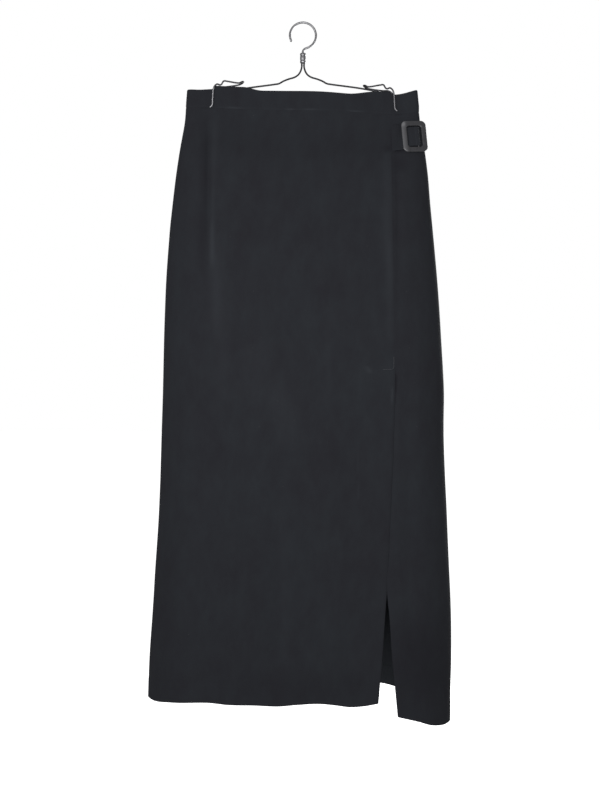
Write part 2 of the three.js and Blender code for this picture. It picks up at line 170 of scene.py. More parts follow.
# Long soft folds in the hanging cloth: rise is outward, lean is sideways drift on the way down
FOLD_FADE = 90
FOLD_COLUMNS = "x start end width rise lean"
FRONT_FOLDS = table(
    FOLD_COLUMNS,
    (-146, 140, 430, 9, -3, 0.01),
    (148, 145, 420, 10, -2.5, 0.01),
    (-70, 330, 900, 50, 3, 0.06),
    (35, 420, 1150, 24, 2.5, 0.02),
    (-30, 620, 1150, 22, -3, -0.03),
    (-165, 560, 1150, 30, 3, -0.05),
    (185, 480, 1150, 20, 3, 0.02),
)
BACK_FOLDS = table(
    FOLD_COLUMNS,
    (-143, 140, 480, 11, -3.5, 0.02),
    (142, 145, 450, 11, -3, -0.02),
    (-60, 300, 1150, 34, 4, -0.04),
    (15, 420, 1150, 26, -3.5, 0.03),
    (95, 350, 1150, 32, 3.5, 0.04),
    (-175, 600, 1150, 26, 3, -0.03),
)

# Finer creases, as low ridges and troughs on top of the folds, each with its own fade at both ends
CREASE_COLUMNS = FOLD_COLUMNS + " fade"
FRONT_CREASES = table(
    CREASE_COLUMNS,
    (-149.5, 137, 375, 3.4, -1.5, 0.005, 60),
    (-142, 140, 340, 3.6, 0.8, 0.005, 70),
    (-156, 150, 300, 4, 0.3, -0.01, 60),
    (-128, 160, 420, 9, -0.35, 0.04, 90),
    (-104, 250, 520, 12, 0.5, 0.05, 90),
    (-60, 360, 560, 8, 0.45, 0.09, 70),
    (-36, 470, 640, 6, -0.45, 0.02, 60),
    (-84, 430, 760, 14, -0.4, -0.03, 110),
    (34, 290, 480, 5, 0.4, 0, 60),
    (48, 330, 560, 9, -0.35, 0.02, 80),
    (86, 520, 620, 2.4, -0.3, 0, 30),
    (-28, 560, 1060, 7, 0.4, -0.01, 90),
    (-120, 620, 1040, 11, 0.45, -0.03, 110),
    (-190, 300, 700, 9, -0.4, -0.03, 110),
    (70, 700, 1050, 10, -0.45, 0.03, 110),
    (104, 560, 900, 7, 0.35, 0, 100),
    (-8, 180, 360, 10, 0.3, -0.03, 80),
    (72, 170, 330, 8, -0.3, 0.04, 70),
)
SIDE_CREASES = table(
    CREASE_COLUMNS,
    (143.5, 160, 430, 2.2, 0.5, 0.005, 80),
    (155, 205, 330, 5, 0.45, 0.02, 50),
    (168, 230, 480, 8, -0.5, 0.05, 90),
    (176, 430, 820, 9, 0.45, 0.01, 110),
    (160, 600, 1080, 8, -0.45, 0.02, 110),
    (205, 620, 1080, 7, 0.4, 0.02, 110),
)
BACK_CREASES = table(
    CREASE_COLUMNS,
    (-141, 137, 350, 2.4, -0.9, 0.01, 60),
    (139, 140, 330, 2.4, -0.8, -0.01, 60),
    (-120, 150, 380, 7, 0.5, 0.05, 80),
    (118, 160, 420, 8, 0.5, -0.05, 90),
    (-92, 230, 560, 10, -0.5, 0.04, 100),
    (-20, 180, 420, 9, 0.4, 0.03, 80),
    (48, 260, 620, 8, -0.5, 0.02, 100),
    (80, 430, 760, 6, 0.45, -0.03, 80),
    (-150, 420, 900, 10, -0.5, -0.03, 110),
    (160, 480, 900, 9, -0.5, 0.02, 110),
    (-30, 600, 1040, 7, 0.45, -0.02, 90),
    (120, 640, 1040, 10, 0.45, 0.02, 110),
    (190, 380, 700, 8, 0.4, 0.03, 100),
    (-200, 520, 1000, 9, 0.4, -0.02, 110),
)

# Painted light and shade on the cloth: painted highlights on flanks, ridges and edges that face the light
# (rise over 0), painted shade in folds, beside edges, under the buckle and towards the hem (rise under 0)
FRONT_PAINTED_SHADING = table(
    CREASE_COLUMNS,
    (-139, 140, 260, 6, 0.38, -0.005, 40),
    (-140.5, 230, 345, 3, 0.28, 0, 40),
    (-141.5, 305, 400, 4.2, 0.75, 0, 32),
    (-131, 330, 640, 13, 0.25, 0.03, 120),
    (-154, 145, 420, 7, -0.45, -0.01, 70),
    (132, 190, 420, 8, 0.3, 0, 60),
    (134, 330, 520, 5, 0.3, 0, 40),
    (-34, 545, 700, 20, 0.3, 0.08, 60),
    (-75, 480, 640, 30, 0.2, 0, 70),
    (40, 440, 640, 5, 0.16, 0, 90),
    (-30, 720, 1060, 8, 0.15, 0.01, 110),
    (85.5, 672, 765, 1, 0.3, 0, 30),
    (134, 194, 211, 7, -0.45, 0, 6),
    (98, 545, 558, 4.5, 0.6, 0.6, 4),
    (139, 574, 608, 1.6, 0.8, -0.04, 12),
    (-136, 320, 520, 9, 0.3, 0, 60),
    (20, 1000, 1080, 160, -0.35, 0, 60),
)
# The side front panel's painted shade: the buckle's painted shadow, painted shade beside the slit and towards
# the lower right
SIDE_PAINTED_SHADING = table(
    CREASE_COLUMNS,
    (152, 208, 250, 14, -0.5, 0, 20),
    (150, 193, 212, 10, -0.7, 0, 7),
    (144.5, 552, 592, 2.4, -0.9, -0.02, 12),
    (143, 582, 610, 1.8, -0.7, -0.04, 12),
    (180, 900, 1110, 50, -0.5, 0, 90),
)
# The back panel's painted highlights and painted shade
BACK_PAINTED_SHADING = table(
    CREASE_COLUMNS,
    (-134, 150, 380, 4.5, 0.4, 0, 60),
    (131, 160, 400, 4.5, 0.35, 0, 60),
    (20, 480, 760, 26, 0.25, 0.05, 90),
    (-60, 640, 1000, 8, 0.2, 0, 90),
)

# Painted light on the wrong side of the cloth, which lies in shade inside the skirt, where 2 is the palest
INSIDE_PAINTED_LIGHT = 1.5

# Small puckers under the waistband seam, and the uneven spread of the hanging cloth
PUCKER_STEP = (8, 21)
PUCKER_RISE = (0.1, 0.42)
PUCKER_WIDTH = (1.8, 4.2)
PUCKER_LENGTH = (7, 34)
PUCKER_LEAN = (-0.12, 0.12)
DRIFT_CELL = (46, 95)
DRIFT_RISE = 0.5
DRIFT_FADE = 60

# The turned hem: how far up it is turned, how far it stands out, and the spacing of its blind stitches
HEM_TURN = 30
HEM_PROUD = 0.28
HEM_INSIDE = 0.75
BLIND_STITCH = 9.5
BLIND_DENT = {"depth": 0.13, "width": 1.2, "height": 1.6, "below_turn": 2}

# Above the slit the wrap seam stands up as one soft ridge
WRAP_RIDGE = {"rise": 0.9, "left": 13, "right": 7, "start": 145, "full": 200, "until": 400, "end": 540}

# The side front panel runs under the front panel's edge from the slit's top to where its edges part
LAP = {"start": 540, "full": 560, "until": 850, "end": 880, "under": 6, "fade": 7, "sink": 1.15}

# The buckle: its middle, its size, and how it lies on the hip
BUCKLE_AT = {"x": 175.4, "down": 182.8}
BUCKLE = {"width": 40, "height": 50.6, "bar": 8, "thickness": 4, "corner": 8, "hole_corner": 4.5}
BUCKLE_YAW = math.radians(12)
BUCKLE_PITCH = math.radians(9)
BUCKLE_ROLL = math.radians(3)
BUCKLE_LIFT = 5.3
PIN_RADIUS = 1.2
PIN_AT = 5.5

# Half the tab's height at the wrap seam, and where it passes through the buckle
TAB_SEAM_HALF = 22.5
TAB_HOLE_HALF = BUCKLE["height"] / 2 - BUCKLE["bar"] - 2.1

# The wire hanger. Its hook runs between two angles, seen from the front.
HOOK_WIRE = 3.4
HOOK_INNER_RADIUS = 19
HOOK_ANGLES = (-62, 205)
NECK = {"top": 47, "bottom": 63, "radius": 4.6}
ARM = table(
    "out down",
    (1.8, 63.3),
    (1.9, 69),
    (3.4, 75),
    (7, 81),
    (13, 85.2),
    (22, 88),
    (31, 91.5),
    (38, 95.4),
    (46, 96.8),
    (95, 103.6),
    (122, 109.5),
    (136, 116),
    (143, 124),
)

# One clip wire, from the front foot over the lever's tail to the back foot.
# "reach" runs from the leg towards the middle of the hanger, "up" from the clip's own height.
CLIP_WIRE = 2.6
CLIP_DOWN = {"left": 101, "right": 107}
CLIP_PATH = table(
    "layer reach up",
    (-1, -5, -32.8),
    (-1, -2.2, -29.8),
    (-1, -1.2, -20),
    (-1, 0, -5),
    (-1, 2.4, 1),
    (-1, 6.3, 3.6),
    (-1, 10.4, 2.2),
    (-1, 13, 3.4),
    (-1, 16.6, 8.4),
    (-1, 22, 8),
    (-1, 41, 5.4),
    (-0.8, 45.5, 7.6),
    (0, 47.6, 8.4),
    (0.8, 45.5, 7.2),
    (1, 41, 5.2),
    (1, 18, 1.6),
    (1, 8, 1.2),
    (1, 2, -2.5),
    (1, 0, -9),
    (1, -1.5, -29),
    (1, -4, -33),
)

# The camera, from the photograph's viewing angle
CAMERA_AT = (-4.65, -2255, -598)
CAMERA_FOCAL_PIXELS = 1419.35
IMAGE_HEIGHT_PIXELS = 800
SENSOR_HEIGHT = 36


def lerp(a, b, share):
    return a + (b - a) * share


def smoothstep(x, low, high):
    share = np.clip((x - low) / (high - low), 0, 1)
    return share * share * (3 - 2 * share)


def curve_of(rows, key, column):
    """A smooth curve through one column of a table, as a function of another column."""
    places, values = rows[key], rows[column]
    last = len(places) - 1
    index = np.arange(last + 1)
    after, before = np.minimum(index + 1, last), np.maximum(index - 1, 0)
    slopes = (values[after] - values[before]) / (places[after] - places[before])

    def curve(at):
        place = np.clip(at, places[0], places[last])
        i = np.clip(np.searchsorted(places, place, side="left") - 1, 0, last - 1)
        span = places[i + 1] - places[i]
        t = (place - places[i]) / span
        ahead = t * t * (3 - 2 * t)
        bend = t * (1 - t) * span * ((1 - t) * slopes[i] - t * slopes[i + 1])
        return values[i] * (1 - ahead) + values[i + 1] * ahead + bend

    return curve


left_edge = curve_of(OUTLINE, "down", "left")
right_edge = curve_of(OUTLINE, "down", "right")
waist_top = curve_of(WAIST, "x", "top")
waist_seam = curve_of(WAIST, "x", "seam")
front_hem = curve_of(FRONT_HEM, "x", "down")
side_hem = curve_of(SIDE_HEM, "x", "down")
back_hem = curve_of(BACK_HEM, "x", "down")
wrap_seam = curve_of(WRAP, "down", "seam")
front_parting = curve_of(WRAP, "down", "front")
side_parting = curve_of(WRAP, "down", "side")
form_depth = curve_of(FORM, "drop", "depth")
form_round = curve_of(FORM, "drop", "round")


def plateau(x, at):
    """0 outside and 1 inside, with soft steps from start to full and from until to end."""
    return smoothstep(x, at["start"], at["full"]) * (1 - smoothstep(x, at["until"], at["end"]))


def band_top(x):
    return waist_top(x) - sum(rise["rise"] * plateau(x, rise) for rise in BAND_RISE)


def front_edge(down):
    """The front panel's edge at the wrap seam and the slit."""
    return wrap_seam(down) - GAP / 4 - np.maximum(0, front_parting(down))


def side_edge(down):
    """The side front panel's edge at the wrap seam and the slit."""
    return wrap_seam(down) - GAP / 2 + np.maximum(0, side_parting(down)) - LAP["under"] * plateau(down, LAP)


def wrap_ridge(down, from_seam, reach):
    """The soft ridge along the wrap seam, on one side of it."""
    return WRAP_RIDGE["rise"] * plateau(down, WRAP_RIDGE) * (1 - smoothstep(from_seam, 0, reach))


def hump(x, start, end):
    """A hump from 0 up to 1 and back to 0 between two places."""
    inside = (x > start) & (x < end)
    return np.where(inside, np.sin(np.pi * (x - start) / (end - start)) ** 2, 0)


def waist_depth(x):
    """Half the depth that the clips leave at the waist."""
    left_ear = hump(x, CLIP_X["left"] - PINCH_REACH - EAR_REACH, CLIP_X["left"] - PINCH_REACH)
    right_ear = hump(x, CLIP_X["right"] + PINCH_REACH, CLIP_X["right"] + PINCH_REACH + EAR_REACH)
    middle = hump(x, CLIP_X["left"] + PINCH_REACH, CLIP_X["right"] - PINCH_REACH)
    return PINCH_DEPTH + EAR_BULGE * (left_ear + right_ear) + MID_BULGE * middle


def relief(rows, x, down):
    """The sum of a table's ridges and troughs at each place, which fade out at their two ends."""
    rise = np.zeros(np.broadcast(x, down).shape)
    for i, fade in enumerate(rows.get("fade", [FOLD_FADE] * len(rows["x"]))):
        start, end = rows["start"][i], rows["end"][i]
        fade_in = smoothstep(down, start, start + fade)
        fade_out = 1 - smoothstep(down, end - fade, end)
        aside = (x - rows["x"][i] - rows["lean"][i] * (down - start)) / rows["width"][i]
        rise = rise + rows["rise"][i] * fade_in * fade_out * np.exp(-aside * aside)
    return rise


def face_depth(face, x, down):
    """The distance of a face's middle surface from the plane through the side seams."""
    folds = FRONT_FOLDS if face == "front" else BACK_FOLDS
    fold_rise = relief(folds, x, down)
    drop = down - waist_top(x)
    release = smoothstep(drop, *RELEASE)
    opened = lerp(waist_depth(x), form_depth(drop), release)
    inset = np.maximum(0, np.minimum(x - left_edge(down), right_edge(down) - x))
    left = np.maximum(0, 1 - inset / form_round(drop))
    return GAP / 2 + (opened + fold_rise) * np.sqrt(1 - left * left)


def front_depth(x, down):
    """How far the front's middle surface lies before the side seams at one place."""
    return float(face_depth("front", np.array(float(x)), np.array(float(down))))


def near_ends(count, length, start_steps, end_steps):
    """Shares from 0 to 1, with given distances from both ends and even steps between."""
    low = np.array(start_steps) / length
    high = 1 - np.array(end_steps)[::-1] / length
    between = np.linspace(low[-1], high[0], count - len(low) - len(high) + 2)
    return np.concatenate([low, between[1:-1], high])


def unit(vectors):
    return vectors / np.linalg.norm(vectors, axis=-1, keepdims=True)


def lengths_along(points, axis):
    """How far each point of a grid is from its row's or column's first point, along the grid."""
    steps = np.linalg.norm(np.diff(points, axis=axis), axis=2)
    start = np.zeros_like(np.take(steps, [0], axis=axis))
    return np.concatenate([start, np.cumsum(steps, axis=axis)], axis=axis)


# The shares across a row at which its length is measured
FINE_LINE = np.linspace(0, 1, 900)


def meet(edge, height, rows):
    """Where sloping rows meet an edge that drifts sideways on its way down."""
    x = edge(height(np.zeros(rows)))
    for _ in range(6):
        x = edge(height(x))
    return x


def face_grid(face, start, end, top, bottom, across, along):
    """A panel's middle surface as a grid, with each point's place on the cloth."""
    side = -1 if face == "front" else 1

    def height(x, share):
        return lerp(top(x), bottom(x), share)

    x_from = meet(start, lambda x: height(x, along), len(along))[:, None]
    x_to = meet(end, lambda x: height(x, along), len(along))[:, None]
    share = along[:, None]

    def line(spot):
        x = lerp(x_from, x_to, 0.5 - 0.5 * np.cos(np.pi * spot))
        down = height(x, share)
        return np.stack([x, side * face_depth(face, x, down), -down], axis=-1), down

    fine, _ = line(FINE_LINE[None, :])
    reach = lengths_along(fine, 1)
    spots = np.array([np.interp(across * row[-1], row, FINE_LINE) for row in reach])
    points, down = line(spots)
    width = reach[:, -1:]
    return {
        "points": points,
        "x": points[..., 0],
        "down": down,
        "from_start": across[None, :] * width,
        "to_end": (1 - across[None, :]) * width,
        "below_top": down - top(points[..., 0]),
        "above_hem": bottom(points[..., 0]) - down,
    }


def grid_normals(points):
    """Unit normals of a grid that runs left to right and top to bottom, seen from outside."""
    along = np.gradient(points, axis=0)
    across = np.gradient(points, axis=1)
    return unit(np.cross(along, across))


def valley(distance, width):
    """1 at an edge, fading to 0 over about twice the width away from it."""
    return np.exp(-((distance / width) ** 2))


def dent(distance, size):
    """How far the cloth dips near an edge or a line, from the dip's depth and width."""
    depth, width = size
    return depth * valley(distance, width)


NOISE_LATTICE = 64
NOISE_SHIFT = (17.3, 9.7)


def smooth_noise(u, v, cell, seed):
    """Smooth noise between -1 and 1 on a grid of cells, the same on each run."""
    random = np.random.default_rng(seed)
    lattice = random.uniform(-1, 1, (NOISE_LATTICE, NOISE_LATTICE))
    a, b = u / cell[0] + NOISE_SHIFT[0], v / cell[1] + NOISE_SHIFT[1]
    i, j = np.floor(a).astype(int), np.floor(b).astype(int)
    s, t = a - i, b - j
    s, t = s * s * (3 - 2 * s), t * t * (3 - 2 * t)
    i, j = i % (NOISE_LATTICE - 1), j % (NOISE_LATTICE - 1)
    low = lerp(lattice[i, j], lattice[i + 1, j], s)
    high = lerp(lattice[i, j + 1], lattice[i + 1, j + 1], s)
    return lerp(low, high, t)


def puckers(x, below_seam, seed):
    """Short uneven puckers that hang from the waistband seam."""
    random = np.random.default_rng(seed)
    rise = np.zeros(x.shape)
    place = x.min()
    while place < x.max():
        place += random.uniform(*PUCKER_STEP)
        sign = random.choice([-1, 1])
        height = sign * random.uniform(*PUCKER_RISE)
        width = random.uniform(*PUCKER_WIDTH)
        length = random.uniform(*PUCKER_LENGTH)
        lean = random.uniform(*PUCKER_LEAN)
        aside = (x - place - lean * below_seam) / width
        rise += height * np.exp(-aside * aside) * np.exp(-below_seam / length)
    return rise * smoothstep(below_seam, 0, 3)


def hem_relief(grid):
    """The turned hem stands a little proud, and its blind stitches pull small dents."""
    above = grid["above_hem"]
    proud = HEM_PROUD * (1 - smoothstep(above, HEM_TURN - 3, HEM_TURN + 1))
    beside = np.abs((grid["x"] / BLIND_STITCH) % 1 - 0.5) * BLIND_STITCH
    beyond = above - HEM_TURN + BLIND_DENT["below_turn"]
    dents = BLIND_DENT["depth"] * valley(beside, BLIND_DENT["width"]) * valley(beyond, BLIND_DENT["height"])
    return proud - dents


def drift(grid, seed):
    """The uneven lie of hanging cloth, which fades out at the waistband seam."""
    fade = smoothstep(grid["below_top"], 0, DRIFT_FADE)
    slow = smooth_noise(grid["x"], grid["down"], DRIFT_CELL, seed)
    quick = smooth_noise(grid["x"], grid["down"], (DRIFT_CELL[0] / 3, DRIFT_CELL[1] / 2), seed + 1)
    return fade * DRIFT_RISE * (slow + 0.35 * quick)


def add_object(name, data):
    made = bpy.data.objects.new(name, data)
    bpy.context.scene.collection.objects.link(made)
    return made


def mesh_object(name, vertices, faces):
    """A smooth-shaded mesh object on the frame's one body, from points in millimetres."""
    mesh = bpy.data.meshes.new(name)
    mesh.from_pydata((np.asarray(vertices) * MM).tolist(), [], faces)
    mesh.validate()
    mesh.shade_smooth()
    made = add_object(name, mesh)
    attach(made, "root")
    return made


def set_cloth_map(made, cloth):
    """A map in metres of the cloth, so that the weave follows it."""
    mesh = made.data
    layer = mesh.uv_layers.new(name="cloth_map")
    corner = np.empty(len(mesh.loops), np.int32)
    mesh.loops.foreach_get("vertex_index", corner)
    layer.data.foreach_set("uv", (cloth[corner] * MM).astype(np.float32).ravel())


def set_painted_shading(made, painted_shading):
    """Painted light and shade at each point, paler for painted highlights and darker for painted shade, as an
    attribute of the mesh.
    """
    layer = made.data.attributes.new("painted_shading", "FLOAT", "POINT")
    layer.data.foreach_set("value", painted_shading.astype(np.float32))


def quads(a, b, c, d):
    """Faces with four corners each, from grids of their first to fourth corners."""
    return np.stack([a, b, c, d], axis=-1).reshape(-1, 4).tolist()


def cloth_shell(name, grid, outer, inner, bulge):
    """A thin closed shell on a grid, between two offsets along its normals.

    bulge says how far the rim stands out at the start, the end, the top and the bottom.
    """
    points = grid["points"]
    normals = grid_normals(points)
    rows, columns = points.shape[:2]
    outer_points = points + normals * outer[..., None]
    inner_points = points + normals * inner[..., None]
    index = np.arange(rows * columns).reshape(rows, columns)
    inside = index + rows * columns
    faces = quads(index[:-1, :-1], index[1:, :-1], index[1:, 1:], index[:-1, 1:])
    faces += quads(inside[:-1, :-1], inside[:-1, 1:], inside[1:, 1:], inside[1:, :-1])
    loop = np.concatenate([index[:, 0], index[-1, 1:], index[-2::-1, -1], index[0, -2:0:-1]])
    inner_loop = loop + rows * columns
    across = np.gradient(points, axis=1)
    along = np.gradient(points, axis=0)
    out = np.zeros(points.shape)
    out[:, 0] -= bulge[0] * unit(across[:, 0])
    out[:, -1] += bulge[1] * unit(across[:, -1])
    out[0] -= bulge[2] * unit(along[0])
    out[-1] += bulge[3] * unit(along[-1])
    middle = ((outer_points + inner_points) / 2 + out).reshape(-1, 3)[loop]
    rim = np.arange(len(loop)) + 2 * rows * columns
    ahead, inner_ahead, rim_ahead = np.roll(loop, -1), np.roll(inner_loop, -1), np.roll(rim, -1)
    faces += quads(ahead, loop, rim, rim_ahead)
    faces += quads(rim_ahead, rim, inner_loop, inner_ahead)
    vertices = np.concatenate([outer_points.reshape(-1, 3), inner_points.reshape(-1, 3), middle])
    made = mesh_object(name, vertices, faces)
    painted_shading = grid["painted_shading"].ravel()
    # The wrong side gets painted light, the rim none
    set_painted_shading(made, np.concatenate([painted_shading, 0 * painted_shading + INSIDE_PAINTED_LIGHT, 0 * painted_shading[loop]]))
    cloth = np.stack([grid["from_start"] - grid["to_end"], -grid["down"]], axis=-1).reshape(-1, 2) / (2, 1)
    set_cloth_map(made, np.concatenate([cloth, cloth, cloth[loop]]))
    return made


# Distances from an edge at which the cloth's grid has lines
FINE_EDGE = [0, 0.35, 0.8, 1.4, 2.2, 3.2, 4.6]
SOFT_EDGE = [0, 0.6, 1.4, 2.6, 4.4]
HEM_EDGE = [0, 0.5, 1.2, 2.6, 6, 11, 17, 23, 26.5, 27.6, 28.6, 29.8, 31.5]
BAND_TOP_EDGE = [0, 0.3, 0.8, 1.5, 2.4]
BAND_SEAM_EDGE = [0, 0.25, 0.6, 1.1, 1.8, 2.8, 4.2]

# How far the cloth's rim stands out: across the gap at a side seam, which it shuts, at the slit,
# at the hem and at the band's top
SEAM_MEET = 0.42
SLIT_RIM = 0.3
HEM_RIM = 0.7
BAND_RIM = 0.5

# The dips of a panel's edges, each as a depth and a width
WAIST_DIP = {"front": (0.75, 1.3), "back": (0.95, 1.3)}
SIDE_DIP = (0.8, 1.4)
WRAP_DIP = {"front": (0.05, 1.2), "side": (0.05, 1)}
SLIT_DIP = (0.6, 1.7)

# Where the slit begins, the faint step of the facing behind its edge, and the thinnest wall there
SLIT_START = (548, 556)
FACING = {"rise": 0.2, "reach": (22, 26)}
THIN_WALL = 0.35

# The dips of the waistband, its sewn seam, the roll above that seam, and its uneven surface
BAND_DIP = {"top": (0.6, 0.8), "side": (0.6, 1.2), "clip": (0.35, 3.5)}
BAND_INSIDE_DIP = {"top": (0.7, 0.9), "seam": (0.5, 1)}
BAND_SEAM = {"depth": 0.95, "width": 1.1, "pull": 0.2, "flat": 0.5, "flat_reach": 10}
BAND_ROLL = {"rise": 0.22, "above_seam": 2.5, "width": 2.2}
BAND_PULL_CELL = (9, 50)
BAND_WAVE = {"rise": 0.22, "cell": (24, 16)}

# Where the waistband seam is sewn in deepest on the front, and how deep it is elsewhere
SEAM_DEEP = {"left": -157, "right": 152, "reach": 9, "elsewhere": 0.12}

# A painted highlight along the band's lower edge above that seam, and where it is painted brightest on the
# front
SEAM_PAINTED_HIGHLIGHT = {"all_along": 0.12, "most": 0.75, "above_seam": 1.6, "width": 1.5}
SEAM_HIGHLIGHT_AT = ((-109, 13), (-20, 6), (11, 11), (82, 9))


def panel_top(x):
    return waist_seam(x) - GAP / 2


def seam_share(x):
    """How deep the waistband seam of the front is sewn in at each place."""
    left, right = (valley(x - SEAM_DEEP[side], SEAM_DEEP["reach"]) for side in ("left", "right"))
    return lerp(SEAM_DEEP["elsewhere"], 1, left + right)


def panel_outer(grid, creases, shading_rows, drift_seed, pucker_seed):
    """A panel's outer surface before its edges dip. Its painted light and shade go to the grid."""
    x, down = grid["x"], grid["down"]
    grid["painted_shading"] = relief(shading_rows, x, down)
    outer = PANEL_OUT + relief(creases, x, down)
    return outer + drift(grid, drift_seed) + puckers(x, grid["below_top"], pucker_seed) + hem_relief(grid)


def panel_shell(name, grid, outer, inner, start_rim, end_rim):
    """A panel's shell, which is thicker inside where its hem is turned."""
    turned = 1 - smoothstep(grid["above_hem"], HEM_TURN - 1, HEM_TURN + 1)
    return cloth_shell(name, grid, outer, inner - HEM_INSIDE * turned, (start_rim, end_rim, 0, HEM_RIM))


def build_front_panel():
    across = near_ends(158, 345, SOFT_EDGE, FINE_EDGE)
    along = near_ends(262, 930, FINE_EDGE, HEM_EDGE)
    grid = face_grid("front", left_edge, front_edge, panel_top, front_hem, across, along)
    down, to_wrap = grid["down"], grid["to_end"]
    in_slit = smoothstep(down, *SLIT_START)
    outer = panel_outer(grid, FRONT_CREASES, FRONT_PAINTED_SHADING, 11, 21) - dent(grid["from_start"], SIDE_DIP)
    outer = outer + in_slit * FACING["rise"] * (1 - smoothstep(to_wrap, *FACING["reach"]))
    inner = outer - PANEL_OUT + PANEL_IN
    outer = outer - seam_share(grid["x"]) * dent(grid["below_top"], WAIST_DIP["front"])
    outer = outer + wrap_ridge(down, to_wrap, WRAP_RIDGE["left"])
    outer = outer - (1 - in_slit) * dent(to_wrap, WRAP_DIP["front"]) - in_slit * dent(to_wrap, SLIT_DIP)
    inner = np.minimum(inner, outer - THIN_WALL)
    return panel_shell("front_panel_cloth", grid, outer, inner, SEAM_MEET, SLIT_RIM)


def build_side_panel():
    across = near_ends(86, 150, FINE_EDGE, SOFT_EDGE)
    along = near_ends(266, 950, FINE_EDGE, HEM_EDGE)
    grid = face_grid("front", side_edge, right_edge, panel_top, side_hem, across, along)
    down, from_wrap = grid["down"], grid["from_start"]
    in_slit = smoothstep(down, *SLIT_START)
    under = 1 - smoothstep(from_wrap, LAP["under"], LAP["under"] + LAP["fade"])
    outer = panel_outer(grid, SIDE_CREASES, SIDE_PAINTED_SHADING, 11, 22)
    outer = outer - seam_share(grid["x"]) * dent(grid["below_top"], WAIST_DIP["front"])
    outer = outer - dent(grid["to_end"], SIDE_DIP)
    outer = outer + wrap_ridge(down, from_wrap, WRAP_RIDGE["right"])
    outer = outer - (1 - in_slit) * dent(from_wrap, WRAP_DIP["side"])
    outer = outer - plateau(down, LAP) * LAP["sink"] * under
    inner = outer - PANEL_OUT + PANEL_IN
    return panel_shell("side_front_panel_cloth", grid, outer, inner, SLIT_RIM, SEAM_MEET)


def build_back_panel():
    across = near_ends(176, 500, SOFT_EDGE, SOFT_EDGE)
    along = near_ends(248, 930, FINE_EDGE, HEM_EDGE)
    grid = face_grid("back", right_edge, left_edge, panel_top, back_hem, across, along)
    outer = panel_outer(grid, BACK_CREASES, BACK_PAINTED_SHADING, 31, 23)
    outer = outer - dent(grid["below_top"], WAIST_DIP["back"])
    outer = outer - dent(grid["from_start"], SIDE_DIP) - dent(grid["to_end"], SIDE_DIP)
    inner = outer - PANEL_OUT + PANEL_IN
    return panel_shell("back_panel_cloth", grid, outer, inner, SEAM_MEET, SEAM_MEET)


def band_painted_highlight(x, above_seam, spots):
    """A painted highlight where the band's lower edge catches light, brightest at the given spots."""
    highlight = SEAM_PAINTED_HIGHLIGHT["all_along"] + 0 * x
    for place, width in spots:
        highlight = highlight + SEAM_PAINTED_HIGHLIGHT["most"] * valley(x - place, width)
    return highlight * valley(above_seam - SEAM_PAINTED_HIGHLIGHT["above_seam"], SEAM_PAINTED_HIGHLIGHT["width"])


def build_band(name, face, start, end, seed):
    """One half of the waistband: folded at the top, and sewn down with a rolled lower edge."""
    across = near_ends(260, 372, SOFT_EDGE, SOFT_EDGE)
    along = near_ends(24, 30, BAND_TOP_EDGE, BAND_SEAM_EDGE)
    grid = face_grid(face, start, end, band_top, waist_seam, across, along)
    x, down = grid["x"], grid["down"]
    above_seam, below_top = grid["above_hem"], grid["below_top"]
    pull = smooth_noise(x, down * 0, BAND_PULL_CELL, seed)
    sewn = seam_share(x) if face == "front" else 1
    # The front band's lower edge gets a painted highlight
    grid["painted_shading"] = band_painted_highlight(x, above_seam, SEAM_HIGHLIGHT_AT if face == "front" else ())
    outer = BAND_OUT + BAND_WAVE["rise"] * smooth_noise(x, down, BAND_WAVE["cell"], seed + 1)
    outer = outer - dent(below_top, BAND_DIP["top"])
    sewn_depth = sewn * (BAND_SEAM["depth"] + BAND_SEAM["pull"] * pull)
    outer = outer - sewn_depth * valley(above_seam, BAND_SEAM["width"])
    outer = outer - BAND_SEAM["flat"] * (1 - sewn) * (1 - smoothstep(above_seam, 0, BAND_SEAM["flat_reach"]))
    outer = outer + pull * dent(above_seam - BAND_ROLL["above_seam"], (BAND_ROLL["rise"], BAND_ROLL["width"]))
    for clip in CLIP_X.values():
        outer = outer - dent(x - clip, BAND_DIP["clip"]) * smoothstep(below_top, 0, 6)
    outer = outer - dent(grid["from_start"], BAND_DIP["side"]) - dent(grid["to_end"], BAND_DIP["side"])
    inner = dent(below_top, BAND_INSIDE_DIP["top"]) + dent(above_seam, BAND_INSIDE_DIP["seam"]) - BAND_OUT
    return cloth_shell(name, grid, outer, inner, (SEAM_MEET, SEAM_MEET, BAND_RIM, 0))


def buckle_frame():
    """The buckle's place, with its own directions across it, up it and out of the cloth."""
    yaw, pitch = BUCKLE_YAW, BUCKLE_PITCH
    level = Vector((math.cos(yaw), math.sin(yaw), 0))
    facing = Vector((math.sin(yaw), -math.cos(yaw), 0))
    up = Vector((0, 0, math.cos(pitch))) - facing * math.sin(pitch)
    out = facing * math.cos(pitch) + Vector((0, 0, math.sin(pitch)))
    turn = Matrix.Rotation(BUCKLE_ROLL, 3, out)
    level, up = turn @ level, turn @ up
    depth = front_depth(BUCKLE_AT["x"], BUCKLE_AT["down"]) + BUCKLE_LIFT
    place = Matrix((level, up, out)).transposed().to_4x4()
    place.translation = Vector((BUCKLE_AT["x"], -depth, -BUCKLE_AT["down"]))
    return np.array(place)


def to_row_frame(place, points):
    """Points of a piece's own frame in the row frame."""
    return points @ place[:3, :3].T + place[:3, 3]


